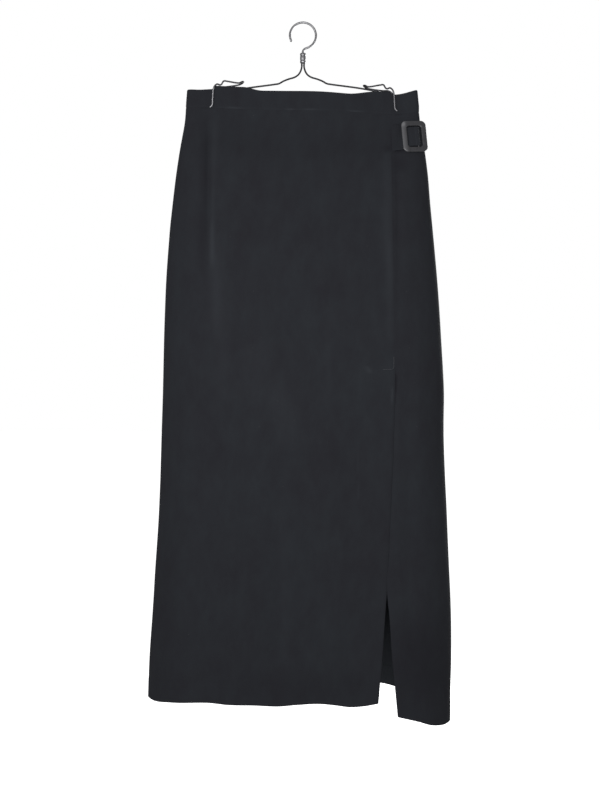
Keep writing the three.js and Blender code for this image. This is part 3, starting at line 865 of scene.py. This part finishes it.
def rounded_rectangle(width, height, corner, per_corner, per_side):
    """A closed outline with round corners, as points that match between two such outlines."""
    arcs = []
    for i, (sx, sy) in enumerate([(1, 1), (-1, 1), (-1, -1), (1, -1)]):
        angles = np.radians(90 * i + np.linspace(0, 90, per_corner + 1))
        middle = np.array([sx * (width / 2 - corner), sy * (height / 2 - corner)])
        arcs.append(middle + corner * np.stack([np.cos(angles), np.sin(angles)], axis=-1))
    points = []
    for arc, following in zip(arcs, arcs[1:] + arcs[:1]):
        points.append(arc)
        points.append(np.linspace(arc[-1], following[0], per_side, endpoint=False)[1:])
    return np.concatenate(points)


# Where the ring gets a painted highlight, as if lit from the left: its left bar and, most of all, that bar's
# top corner.
# Places are shares of half its width and height.
BUCKLE_PAINTED_HIGHLIGHT = {"bar": 0.55, "bar_reach": (-0.98, -0.5), "corner": 1, "left": -0.84, "high": 0.8, "reach": 0.13}
BUCKLE_STEPS = {"corner": 14, "side": 22, "round": 30}
BUCKLE_ROUNDNESS = 0.62


def build_buckle(place):
    """The moulded ring: softly crowned bars between a round-cornered outline and hole."""
    width, height, bar = BUCKLE["width"], BUCKLE["height"], BUCKLE["bar"]
    steps = BUCKLE_STEPS["corner"], BUCKLE_STEPS["side"]
    outer = rounded_rectangle(width, height, BUCKLE["corner"], *steps)
    inner = rounded_rectangle(width - 2 * bar, height - 2 * bar, BUCKLE["hole_corner"], *steps)
    turns = np.linspace(0, 2 * np.pi, BUCKLE_STEPS["round"], endpoint=False)
    waves = (np.cos(turns), np.sin(turns))
    aside, rise = (np.sign(wave) * np.abs(wave) ** BUCKLE_ROUNDNESS for wave in waves)
    shares = 0.5 + 0.5 * aside
    lifts = BUCKLE["thickness"] / 2 * (1 + rise)
    flat = inner[:, None, :] + (outer - inner)[:, None, :] * shares[None, :, None]
    lift = np.broadcast_to(lifts[None, :, None], flat.shape[:2] + (1,))
    points = to_row_frame(place, np.concatenate([flat, lift], axis=2))
    count, ring = points.shape[:2]
    index = np.arange(count * ring).reshape(count, ring)
    ahead = np.roll(index, -1, axis=0)
    faces = quads(index, ahead, np.roll(ahead, -1, axis=1), np.roll(index, -1, axis=1))
    made = mesh_object("buckle_ring", points.reshape(-1, 3), faces)
    # A painted highlight on the left bar and its top corner
    left, high = flat[..., 0] / (width / 2), flat[..., 1] / (height / 2)
    reach = BUCKLE_PAINTED_HIGHLIGHT["reach"]
    corner = valley(left - BUCKLE_PAINTED_HIGHLIGHT["left"], reach) * valley(high - BUCKLE_PAINTED_HIGHLIGHT["high"], reach)
    painted_shading = BUCKLE_PAINTED_HIGHLIGHT["bar"] * (1 - smoothstep(left, *BUCKLE_PAINTED_HIGHLIGHT["bar_reach"]))
    set_painted_shading(made, (painted_shading + BUCKLE_PAINTED_HIGHLIGHT["corner"] * corner).ravel())
    return made


def catmull_rom(points, steps):
    """Points along a smooth line through the given ones, with centripetal spacing."""
    points = np.asarray(points, float)
    last = len(points) - 1
    before = 2 * points[0] - points[1]
    after = 2 * points[-1] - points[-2]
    padded = np.concatenate([[before], points, [after]])
    line = []
    for step in range(steps + 1):
        place = last * step / steps
        i = min(int(place), last - 1)
        t = place - i
        p0, p1, p2, p3 = padded[i:i + 4]
        d0, d1, d2 = (max(np.linalg.norm(b - a) ** 0.5, 1e-4) for a, b in ((p0, p1), (p1, p2), (p2, p3)))
        m1 = ((p1 - p0) / d0 - (p2 - p0) / (d0 + d1) + (p2 - p1) / d1) * d1
        m2 = ((p2 - p1) / d1 - (p3 - p1) / (d1 + d2) + (p3 - p2) / d2) * d1
        a = 2 * p1 - 2 * p2 + m1 + m2
        b = -3 * p1 + 3 * p2 - 2 * m1 - m2
        line.append(((a * t + b) * t + m1) * t + p1)
    return np.array(line)


# A tube's rounded end: each ring's radius and how far out it lies, as shares of the tube's radius
TUBE_END = ((0.98, 0.18), (0.8, 0.54), (0.5, 0.783), (0.15, 0.891))


def tube(line, radius, sides=16):
    """A closed round tube with rounded ends along a line, as its vertices and faces."""
    line = np.asarray(line, float)
    tangents = unit(np.gradient(line, axis=0))
    normal = np.cross(tangents[0], (0, 1, 0.01))
    normals = []
    for tangent in tangents:
        normal = unit(normal - tangent * np.dot(normal, tangent))
        normals.append(normal)
    others = np.cross(tangents, normals)
    rings = [(*ring, radius) for ring in zip(line, normals, others)]
    for share, out in TUBE_END:
        rings.insert(0, (line[0] - tangents[0] * radius * out, normals[0], others[0], radius * share))
        rings.append((line[-1] + tangents[-1] * radius * out, normals[-1], others[-1], radius * share))
    vertices = []
    for centre, across, other, size in rings:
        for angle in np.linspace(0, 2 * np.pi, sides, endpoint=False):
            vertices.append(centre + size * (math.cos(angle) * across + math.sin(angle) * other))
    index = np.arange(len(vertices)).reshape(-1, sides)
    ahead = np.roll(index, -1, axis=1)
    faces = quads(index[:-1], ahead[:-1], ahead[1:], index[1:])
    return vertices, faces + [index[0][::-1].tolist(), index[-1].tolist()]


def wire(name, points, diameter, steps):
    """A round wire along a smooth line through the given points."""
    return mesh_object(name, *tube(catmull_rom(points, steps), diameter / 2))


# The tab: how it lies on the panel and rises through the buckle, with fine folds where it turns at the pin
TAB_REST = 0.25
TAB_SINK = (2.4, 1.3, 0.4, 0, 0)
TAB_TOP_SINK = (1.7, 3)
TAB_LOWER_CURL = (1, 5)
TAB_SEAM_INSET = 0.4
TAB_EDGE = [0, 0.4, 1, 1.8, 2.2, 2.7]
TAB_EDGE_DIP = {"outside": (0.45, 0.7), "inside": (0.35, 0.7)}
TAB_STITCH = {"inset": 2.2, "pitch": 2.8, "depth": 0.28, "width": 0.45}
# How much paler the fold ridges are painted, as painted highlights
TAB_FOLD_HIGHLIGHT = 0.6
TAB_FOLDS = table(
    "across rise width",
    (1.6, 0.5, 0.5),
    (3.3, 0.65, 0.45),
    (4.9, 0.65, 0.45),
    (6.4, 0.5, 0.45),
)

# The steps along the tab's whole line, and those of them before it turns in behind the pin
TAB_STEPS = 150
TAB_FACING_STEPS = 128


def tab_path():
    """The tab's way through the buckle: places across and out of the buckle, and half its own height."""
    bend = PIN_RADIUS + GAP + TAB_OUT + 0.1
    pin_out = PIN_RADIUS * 0.5
    path = [
        (-17.5, -1.9, 19),
        (-13.5, -1.6, 16),
        (-11, -0.6, TAB_HOLE_HALF),
        (-6, pin_out + bend - 0.9, TAB_HOLE_HALF),
        (1, pin_out + bend, TAB_HOLE_HALF),
    ]
    for angle in np.radians(np.linspace(90, -36, 5)):
        path.append((PIN_AT + bend * math.cos(angle), pin_out + bend * math.sin(angle), TAB_HOLE_HALF))
    return path


def tab_rows(place):
    """Lines along the tab, from the wrap seam to behind the pin, one for each height on it."""
    path = tab_path()
    line = to_row_frame(place, np.array([(across, 0, out) for across, out, _ in path]))
    up = place[:3, 1]
    seam_x = float(wrap_seam(BUCKLE_AT["down"])) + TAB_SEAM_INSET
    last_x = line[0][0] - 7
    lift = PANEL_OUT + TAB_REST + TAB_OUT
    rows = []
    for share in near_ends(25, 44, TAB_EDGE, TAB_EDGE) * -2 + 1:
        low = []
        for step, sink in enumerate(TAB_SINK):
            x = lerp(seam_x, last_x, step / 4)
            down = BUCKLE_AT["down"] - share * (TAB_SEAM_HALF - step / 4)
            sink += float(dent((1 - share) * TAB_SEAM_HALF, TAB_TOP_SINK)) * (1 - step / 5)
            sink -= float(dent((1 + share) * TAB_SEAM_HALF, TAB_LOWER_CURL)) * step / 4
            low.append((x, -front_depth(x, down) - lift + sink, -down))
        high = [line[i] + up * share * half for i, (_, _, half) in enumerate(path)]
        rows.append(catmull_rom(np.array(low + high), TAB_STEPS))
    return np.array(rows)


def build_tab(place):
    """The tab leaves the wrap seam, passes under the buckle's left bar and folds down behind the pin."""
    points = tab_rows(place)
    reach = lengths_along(points, 1)
    heights = lengths_along(points, 0)
    grid = {
        "points": points,
        "down": heights,
        "from_start": reach,
        "to_end": reach[:, -1:] - reach,
        "painted_shading": np.zeros(heights.shape),
    }
    from_edge = np.minimum(heights, heights[-1] - heights)
    across = (points[len(points) // 2] - place[:3, 3]) @ place[:3, 0]
    outer = TAB_OUT - dent(from_edge, TAB_EDGE_DIP["outside"])
    beats = 0.6 + 0.4 * np.cos(2 * np.pi * reach / TAB_STITCH["pitch"])
    outer = outer - TAB_STITCH["depth"] * beats * valley(from_edge - TAB_STITCH["inset"], TAB_STITCH["width"])
    facing = np.arange(len(across)) < TAB_FACING_STEPS
    for spot, rise, width in zip(*TAB_FOLDS.values()):
        ridge = (valley(across - spot, width) * facing)[None, :]
        outer = outer + rise * ridge
        # Painted highlight on each fold's ridge
        grid["painted_shading"] = grid["painted_shading"] + TAB_FOLD_HIGHLIGHT * ridge
    inner = dent(from_edge, TAB_EDGE_DIP["inside"]) - TAB_OUT
    return cloth_shell("buckle_tab_cloth", grid, outer, inner, (0, 0.4, 0.5, 0.5))


# The L of topstitches that holds the top of the slit, and each stitch's size and how far its ends dive in
SLIT_TOP = {"down": 550.4, "rise": 19, "run": 18.5, "inset": 1.6, "corner": 4.2}
STITCH = {"length": 2.6, "gap": 0.5, "radius": 0.5, "stand": 0.25, "dive": 0.6}


def front_point(x, down, stand):
    """A point on the front's outer surface, a little proud of it."""
    return np.array([x, -front_depth(x, down) - PANEL_OUT - stand, -down])


def build_slit_stitches():
    """Thread stitches down the seam above the slit and across its top, as one joined mesh."""
    corner_x = float(wrap_seam(SLIT_TOP["down"])) - SLIT_TOP["inset"]
    corner_down, bend = SLIT_TOP["down"], SLIT_TOP["corner"]
    path = [(corner_x, corner_down - SLIT_TOP["rise"])]
    for turn in np.linspace(0, np.pi / 2, 7):
        path.append((corner_x - bend + bend * math.cos(turn), corner_down - bend + bend * math.sin(turn)))
    path.append((corner_x - SLIT_TOP["run"], corner_down + 0.4))
    path = np.array(path)
    reach = np.concatenate([[0], np.cumsum(np.linalg.norm(np.diff(path, axis=0), axis=1))])
    pitch = STITCH["length"] + STITCH["gap"]
    vertices, faces = [], []
    for stitch in range(int(reach[-1] / pitch)):
        line = []
        for share in (0, 0.15, 0.5, 0.85, 1):
            along = stitch * pitch + share * STITCH["length"]
            x, down = (np.interp(along, reach, path[:, axis]) for axis in (0, 1))
            line.append(front_point(x, down, STITCH["stand"] - STITCH["dive"] * (abs(share - 0.5) * 2) ** 4))
        made, sides = tube(line, STITCH["radius"], 8)
        faces.extend([[corner + len(vertices) for corner in face] for face in sides])
        vertices.extend(made)
    return mesh_object("slit_topstitch", vertices, faces)


def lathe(name, profile, sides=48):
    """A closed round solid about the Z axis, from (radius, height) pairs that start and end on the axis."""
    inside = profile[1:-1]
    angles = np.linspace(0, 2 * np.pi, sides, endpoint=False)
    vertices = [(r * math.cos(a), r * math.sin(a), z) for r, z in inside for a in angles]
    index = np.arange(len(vertices)).reshape(len(inside), sides)
    ahead = np.roll(index, -1, axis=1)
    faces = quads(index[:-1], index[1:], ahead[1:], ahead[:-1])
    return mesh_object(name, vertices, faces + [index[0].tolist(), index[-1][::-1].tolist()])


def build_hook():
    radius = HOOK_INNER_RADIUS + HOOK_WIRE / 2
    points = [(0, 0, -NECK["top"] - 1), (0, 0, -NECK["top"] + 3), (2.5, 0, -NECK["top"] + 6.5)]
    for angle in np.radians(np.linspace(*HOOK_ANGLES, 13)):
        points.append((radius * math.cos(angle), 0, radius * math.sin(angle) - HOOK_INNER_RADIUS))
    return wire("hook_wire", points, HOOK_WIRE, 150)


def build_ferrule():
    """The crimped sleeve that joins the hook to the two arms."""
    top, bottom, radius = -NECK["top"], -NECK["bottom"], NECK["radius"]
    profile = [(0, top), (radius - 1.3, top), (radius - 0.5, top - 0.2), (radius, top - 0.9)]
    for crimp in (0.27, 0.73):
        middle = lerp(top, bottom, crimp)
        for step in range(9):
            share = step / 8
            squeeze = 0.45 * math.sin(math.pi * share) ** 2
            profile.append((radius - squeeze, middle + lerp(1.5, -1.5, share)))
    profile += [(radius, bottom + 0.9), (radius - 0.5, bottom + 0.2), (radius - 1.3, bottom), (0, bottom)]
    return lathe("neck_ferrule", profile)


def build_arm(name, sign):
    points = [(sign * out, 0, -down) for out, down in zip(ARM["out"], ARM["down"])]
    points[0] = (points[0][0], 0, points[0][2] + 1.2)
    return wire(f"arm_wire_{name}", points, ARM_WIRE, 170)


def build_clip(name, inward):
    layer = GAP / 2 + PINCH_DEPTH + BAND_OUT + GAP + CLIP_WIRE / 2 + 0.1
    points = [
        (CLIP_X[name] + inward * reach, layer * side, up - CLIP_DOWN[name])
        for side, reach, up in zip(CLIP_PATH["layer"], CLIP_PATH["reach"], CLIP_PATH["up"])
    ]
    return wire(f"clip_wire_{name}", points, CLIP_WIRE, 320)


def build_pin(place):
    half = BUCKLE["height"] / 2 - BUCKLE["bar"] - GAP
    ends = np.array([(PIN_AT, -half + 1.1, PIN_RADIUS * 0.5), (PIN_AT, half - 1.1, PIN_RADIUS * 0.5)])
    line = to_row_frame(place, np.array([lerp(ends[0], ends[1], share) for share in np.linspace(0, 1, 9)]))
    return mesh_object("buckle_pin", *tube(line, PIN_RADIUS, 20))


# Materials


def new_material(name):
    material = bpy.data.materials.new(name)
    material.use_nodes = True
    tree = material.node_tree
    return material, tree, tree.nodes["Principled BSDF"]


def add_node(tree, kind, inputs=(), **settings):
    """A node with its settings, and with each named input set or linked."""
    made = tree.nodes.new(kind)
    for key, value in settings.items():
        setattr(made, key, value)
    connect(tree, made, dict(inputs))
    return made


def connect(tree, node, inputs):
    for key, value in inputs.items():
        if isinstance(value, bpy.types.NodeSocket):
            tree.links.new(value, node.inputs[key])
        else:
            node.inputs[key].default_value = value


def noise(tree, place, scale, detail=2.0, roughness=0.5):
    """A noise texture's value, with its features about 1/scale metres wide."""
    inputs = {"Vector": place, "Scale": scale, "Detail": detail, "Roughness": roughness}
    return add_node(tree, "ShaderNodeTexNoise", inputs).outputs["Fac"]


def bands(tree, direction, inputs):
    """A wave texture's value, with its bands one after another in the given direction."""
    made = add_node(tree, "ShaderNodeTexWave", inputs, wave_type="BANDS", bands_direction=direction)
    return made.outputs["Fac"]


def stretch(tree, place, factors):
    inputs = {0: place, 1: factors}
    return add_node(tree, "ShaderNodeVectorMath", inputs, operation="MULTIPLY").outputs[0]


def spread(tree, value, low, high, to_low, to_high, smooth=False):
    """A value's range from low to high stretched to another range."""
    kind = "SMOOTHSTEP" if smooth else "LINEAR"
    inputs = {"Value": value, "From Min": low, "From Max": high, "To Min": to_low, "To Max": to_high}
    return add_node(tree, "ShaderNodeMapRange", inputs, interpolation_type=kind).outputs["Result"]


def combine(tree, operation, first, second):
    return add_node(tree, "ShaderNodeMath", {0: first, 1: second}, operation=operation).outputs[0]


def mix_colours(tree, share, first, second):
    made = add_node(tree, "ShaderNodeMix", data_type="RGBA")
    colours = [socket for socket in made.inputs if socket.type == "RGBA"]
    for socket, value in zip(colours, (first, second)):
        if isinstance(value, bpy.types.NodeSocket):
            tree.links.new(value, socket)
        else:
            socket.default_value = (*value, 1)
    tree.links.new(share, made.inputs["Factor"])
    return next(socket for socket in made.outputs if socket.type == "RGBA")


def bump(tree, height, distance, strength, normal=None):
    inputs = {"Height": height, "Distance": distance, "Strength": strength}
    if normal is not None:
        inputs["Normal"] = normal
    return add_node(tree, "ShaderNodeBump", inputs).outputs["Normal"]


# The colours of the cloth, from its ground to its painted highlights, its painted shade in folds and its lint
CREPE = {
    "dark": (0.0186, 0.0182, 0.0228),
    "light": (0.0226, 0.0254, 0.0304),
    "grain": (0.0315, 0.0345, 0.04),
    "painted_highlight": (0.034, 0.0375, 0.044),
    "brightest_painted_highlight": (0.052, 0.057, 0.066),
    "painted_shade": (0.0135, 0.013, 0.017),
    "lint": (0.07, 0.07, 0.072),
}


def cloth_material():
    """Matte black crepe: a pebbled grain of crinkled threads, faint mottling and a few specks of lint."""
    material, tree, shader = new_material("black_crepe")
    cloth = add_node(tree, "ShaderNodeUVMap", uv_map="cloth_map").outputs["UV"]
    pebble = noise(tree, stretch(tree, cloth, (1, 0.62, 1)), 1150, 2.5, 0.62)
    wave = {"Vector": cloth, "Scale": 380, "Distortion": 3.2, "Detail": 1.5, "Detail Scale": 1.6}
    weft = bands(tree, "Y", wave)
    grain = combine(tree, "ADD", pebble, combine(tree, "MULTIPLY", weft, 0.28))
    rumple = noise(tree, stretch(tree, cloth, (1, 0.45, 1)), 62, 3, 0.55)
    wide = noise(tree, stretch(tree, cloth, (1, 0.6, 1)), 7.5, 3, 0.6)
    mottle = noise(tree, stretch(tree, cloth, (1, 0.5, 1)), 45, 4, 0.65)
    blotches = spread(tree, wide, 0.3, 0.7, 0.1, 0.7)
    tone = combine(tree, "ADD", blotches, spread(tree, mottle, 0.35, 0.7, -0.15, 0.4))
    ground = mix_colours(tree, tone, CREPE["dark"], CREPE["light"])
    ground = mix_colours(tree, spread(tree, grain, 0.35, 0.95, 0, 0.35), ground, CREPE["grain"])
    # Painted light and shade from the mesh's attribute: paler towards painted highlights, darker towards
    # painted shade
    painted_shading = add_node(tree, "ShaderNodeAttribute", attribute_name="painted_shading").outputs["Fac"]
    ground = mix_colours(tree, spread(tree, painted_shading, 0, 1, 0, 1), ground, CREPE["painted_highlight"])
    ground = mix_colours(tree, spread(tree, painted_shading, 1, 2, 0, 1), ground, CREPE["brightest_painted_highlight"])
    ground = mix_colours(tree, spread(tree, painted_shading, -1, 0, 1, 0), ground, CREPE["painted_shade"])
    cells = add_node(tree, "ShaderNodeTexVoronoi", {"Vector": cloth, "Scale": 75}, feature="F1")
    near = spread(tree, cells.outputs["Distance"], 0.03, 0.075, 1, 0, smooth=True)
    pick = add_node(tree, "ShaderNodeSeparateColor", {"Color": cells.outputs["Color"]}).outputs["Red"]
    rare = combine(tree, "GREATER_THAN", pick, 0.94)
    lint = combine(tree, "MULTIPLY", combine(tree, "MULTIPLY", near, rare), 0.35)
    connect(tree, shader, {
        "Base Color": mix_colours(tree, lint, ground, CREPE["lint"]),
        "Roughness": spread(tree, mottle, 0.3, 0.7, 0.93, 0.82),
        "Normal": bump(tree, grain, 0.00022, 0.7, bump(tree, rumple, 0.0016, 0.35)),
        "Specular IOR Level": 0.1,
        "Sheen Weight": 0.02,
        "Sheen Roughness": 0.6,
        "Sheen Tint": (0.75, 0.75, 0.85, 1),
    })
    return material


def thread_material():
    """Twisted sewing thread, a little paler and shinier than the cloth."""
    material, tree, shader = new_material("black_thread")
    place = add_node(tree, "ShaderNodeTexCoord").outputs["Object"]
    wave = {"Vector": place, "Scale": 900, "Distortion": 1.5, "Detail": 1}
    twist = bands(tree, "DIAGONAL", wave)
    colour = mix_colours(tree, twist, (0.04, 0.042, 0.048), (0.066, 0.069, 0.077))
    connect(tree, shader, {
        "Base Color": colour,
        "Roughness": spread(tree, twist, 0.0, 1.0, 0.6, 0.45),
        "Normal": bump(tree, twist, 0.0001, 0.5),
        "Specular IOR Level": 0.25,
    })
    return material


# The colours of the buckle, from its ground to its worn edges and its painted highlight
PLASTIC = {
    "dark": (0.036, 0.036, 0.04),
    "light": (0.047, 0.047, 0.052),
    "edge": (0.085, 0.085, 0.092),
    "painted_highlight": (0.17, 0.17, 0.18),
}


def plastic_material():
    """Satin moulded plastic in dark grey, with faint scuffs, lighter worn edges and a painted highlight on
    its left bar.
    """
    material, tree, shader = new_material("satin_plastic")
    place = add_node(tree, "ShaderNodeTexCoord").outputs["Object"]
    fine = noise(tree, place, 1500)
    cloud = noise(tree, place, 90, 3, 0.6)
    scuffs = noise(tree, stretch(tree, place, (1, 1, 0.16)), 700, 2, 0.6)
    edge = add_node(tree, "ShaderNodeNewGeometry").outputs["Pointiness"]
    worn = spread(tree, edge, 0.5, 0.56, 0, 0.5, smooth=True)
    body = mix_colours(tree, spread(tree, cloud, 0.3, 0.7, 0, 1), PLASTIC["dark"], PLASTIC["light"])
    body = mix_colours(tree, worn, body, PLASTIC["edge"])
    # Painted highlight from the mesh's attribute
    painted_highlight = add_node(tree, "ShaderNodeAttribute", attribute_name="painted_shading").outputs["Fac"]
    body = mix_colours(tree, painted_highlight, body, PLASTIC["painted_highlight"])
    clouded = spread(tree, cloud, 0.3, 0.7, 0.25, 0.33)
    rough = combine(tree, "ADD", clouded, spread(tree, scuffs, 0.55, 0.75, 0, 0.14))
    connect(tree, shader, {
        "Base Color": body,
        "Roughness": rough,
        "Normal": bump(tree, fine, 0.00008, 0.4),
        "Specular IOR Level": 0.5,
    })
    return material


def metal_material(name, first, second, roughness, heights=None):
    """Drawn plated wire with fine marks. Between two heights in metres, it turns from first to second, as
    painted light: on the clips, pale painted highlights on the legs and dark painted shade on the levers.
    """
    material, tree, shader = new_material(name)
    place = add_node(tree, "ShaderNodeTexCoord").outputs["Object"]
    marks = noise(tree, place, 420, 4, 0.65)
    cloud = noise(tree, place, 60)
    tone = spread(tree, marks, 0.3, 0.75, 0, 1)
    # Painted light by height: lit tone below, shaded tone above
    if heights:
        level = add_node(tree, "ShaderNodeSeparateXYZ", {0: place}).outputs["Z"]
        ramp = spread(tree, level, *heights, 0, 1, smooth=True)
        marked = combine(tree, "MULTIPLY", tone, 0.15)
        tone = combine(tree, "ADD", combine(tree, "MULTIPLY", ramp, 0.85), marked)
    connect(tree, shader, {
        "Base Color": mix_colours(tree, tone, first, second),
        "Roughness": spread(tree, cloud, 0.3, 0.7, roughness, roughness + 0.14),
        "Normal": bump(tree, marks, 0.00005, 0.35),
        "Metallic": 1.0,
    })
    return material


def dress(pieces, material):
    for piece in pieces:
        piece.data.materials.clear()
        piece.data.materials.append(material)


# Light, floor and camera


def area_light(name, place, target, size, watts):
    light = bpy.data.lights.new(name, "AREA")
    light.shape = "RECTANGLE"
    light.size, light.size_y = size
    light.energy = watts
    lamp = add_object(name, light)
    lamp.location = place
    lamp.rotation_euler = (Vector(target) - Vector(place)).to_track_quat("-Z", "Y").to_euler()
    lamp.visible_camera = False


# The floor's height and half its width in metres, and how strongly the surround lights the skirt
FLOOR_HEIGHT = -1.32
FLOOR_HALF = 30
SURROUND_LIGHT = 0.3


def build_stage():
    """A plain pale floor well below the hem, and a white surround that lights the skirt only softly."""
    mesh = bpy.data.meshes.new("floor")
    corners = [(-1, -1), (1, -1), (1, 1), (-1, 1)]
    mesh.from_pydata([(x * FLOOR_HALF, y * FLOOR_HALF, FLOOR_HEIGHT) for x, y in corners], [], [(0, 1, 2, 3)])
    floor = add_object("floor", mesh)
    material, tree, shader = new_material("pale_floor")
    place = add_node(tree, "ShaderNodeTexCoord").outputs["Object"]
    tone = noise(tree, place, 3)
    connect(tree, shader, {
        "Base Color": mix_colours(tree, tone, (0.93, 0.93, 0.93), (0.95, 0.95, 0.95)),
        "Roughness": 0.95,
        "Emission Color": (1, 1, 1, 1),
        "Emission Strength": 0.9,
    })
    mesh.materials.append(material)
    floor.visible_diffuse = False
    floor.visible_glossy = False
    world = bpy.data.worlds.new("white_surround")
    bpy.context.scene.world = world
    world.use_nodes = True
    tree = world.node_tree
    seen = add_node(tree, "ShaderNodeLightPath").outputs["Is Camera Ray"]
    strength = spread(tree, seen, 0, 1, SURROUND_LIGHT, 1)
    connect(tree, tree.nodes["Background"], {"Color": (1, 1, 1, 1), "Strength": strength})


def build_lights():
    area_light("key", place=(-0.75, -1.3, -0.2), target=(-0.08, 0, -0.5), size=(0.18, 0.7), watts=5)
    area_light("front_fill", place=(0.05, -1.5, -0.4), target=(0, 0, -0.55), size=(0.4, 0.5), watts=9.7)
    area_light("back_key", place=(0.9, 1.5, -0.3), target=(0.05, 0, -0.55), size=(0.9, 1.2), watts=22)


def build_camera():
    data = bpy.data.cameras.new("camera")
    data.sensor_fit = "VERTICAL"
    data.sensor_height = SENSOR_HEIGHT
    data.lens = CAMERA_FOCAL_PIXELS / IMAGE_HEIGHT_PIXELS * SENSOR_HEIGHT
    camera = add_object("camera", data)
    camera.location = Vector(CAMERA_AT) * MM
    camera.rotation_euler = (math.radians(90), 0, 0)
    bpy.context.scene.camera = camera
    view = bpy.context.scene.view_settings
    view.view_transform = "Standard"
    view.look = "None"
    view.exposure = 0
    view.gamma = 1


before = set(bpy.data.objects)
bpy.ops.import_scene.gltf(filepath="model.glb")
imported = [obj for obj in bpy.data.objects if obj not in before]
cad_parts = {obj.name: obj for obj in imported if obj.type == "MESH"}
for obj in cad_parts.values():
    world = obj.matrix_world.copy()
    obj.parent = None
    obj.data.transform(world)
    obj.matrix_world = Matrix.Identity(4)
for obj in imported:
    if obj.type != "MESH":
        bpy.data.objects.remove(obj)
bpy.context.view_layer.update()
build_camera()
build_stage()
build_lights()

band_front = build_band("waistband_front_cloth", "front", left_edge, right_edge, 41)
band_back = build_band("waistband_back_cloth", "back", right_edge, left_edge, 51)
front = build_front_panel()
side_front = build_side_panel()
back = build_back_panel()
buckle_place = buckle_frame()
tab = build_tab(buckle_place)
buckle = build_buckle(buckle_place)
pin = build_pin(buckle_place)
stitches = build_slit_stitches()
hook = build_hook()
ferrule = build_ferrule()
arms = [build_arm("left", -1), build_arm("right", 1)]
clips = [build_clip("left", 1), build_clip("right", -1)]

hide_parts("waistband_front")
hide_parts("waistband_back")
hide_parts("front_panel")
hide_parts("side_front_panel")
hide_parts("back_panel")
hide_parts("buckle_tab")
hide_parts("buckle")
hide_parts("buckle_bar")
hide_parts("hanger_hook")
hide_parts("hanger_neck")
for made, side in zip(arms, ("left", "right")):
    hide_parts(f"hanger_arm_{side}")
for made, side in zip(clips, ("left", "right")):
    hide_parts(f"clip_{side}")

zinc = metal_material("zinc_wire", (0.28, 0.28, 0.29), (0.42, 0.42, 0.44), roughness=0.32)
dark_metal = metal_material("dark_wire", (0.03, 0.03, 0.033), (0.07, 0.07, 0.075), roughness=0.4)
dress([band_front, band_back, front, side_front, back, tab], cloth_material())
dress([stitches], thread_material())
dress([buckle], plastic_material())
dress([hook, ferrule, pin], zinc)
dress(arms, dark_metal)
# Painted light on the clips: legs painted pale as a highlight, the left one brighter, levers painted dark as
# shade
for clip, side, leg_highlight in zip(clips, ("left", "right"), (0.4, 0.25)):
    heights = [-(CLIP_DOWN[side] + drop) * MM for drop in (6, -2)]
    painted_lit_leg, painted_shaded_lever = (leg_highlight, leg_highlight, leg_highlight * 1.05), (0.05, 0.05, 0.055)
    finish = metal_material(f"clip_wire_{side}", painted_lit_leg, painted_shaded_lever, 0.36, heights)
    dress([clip], finish)
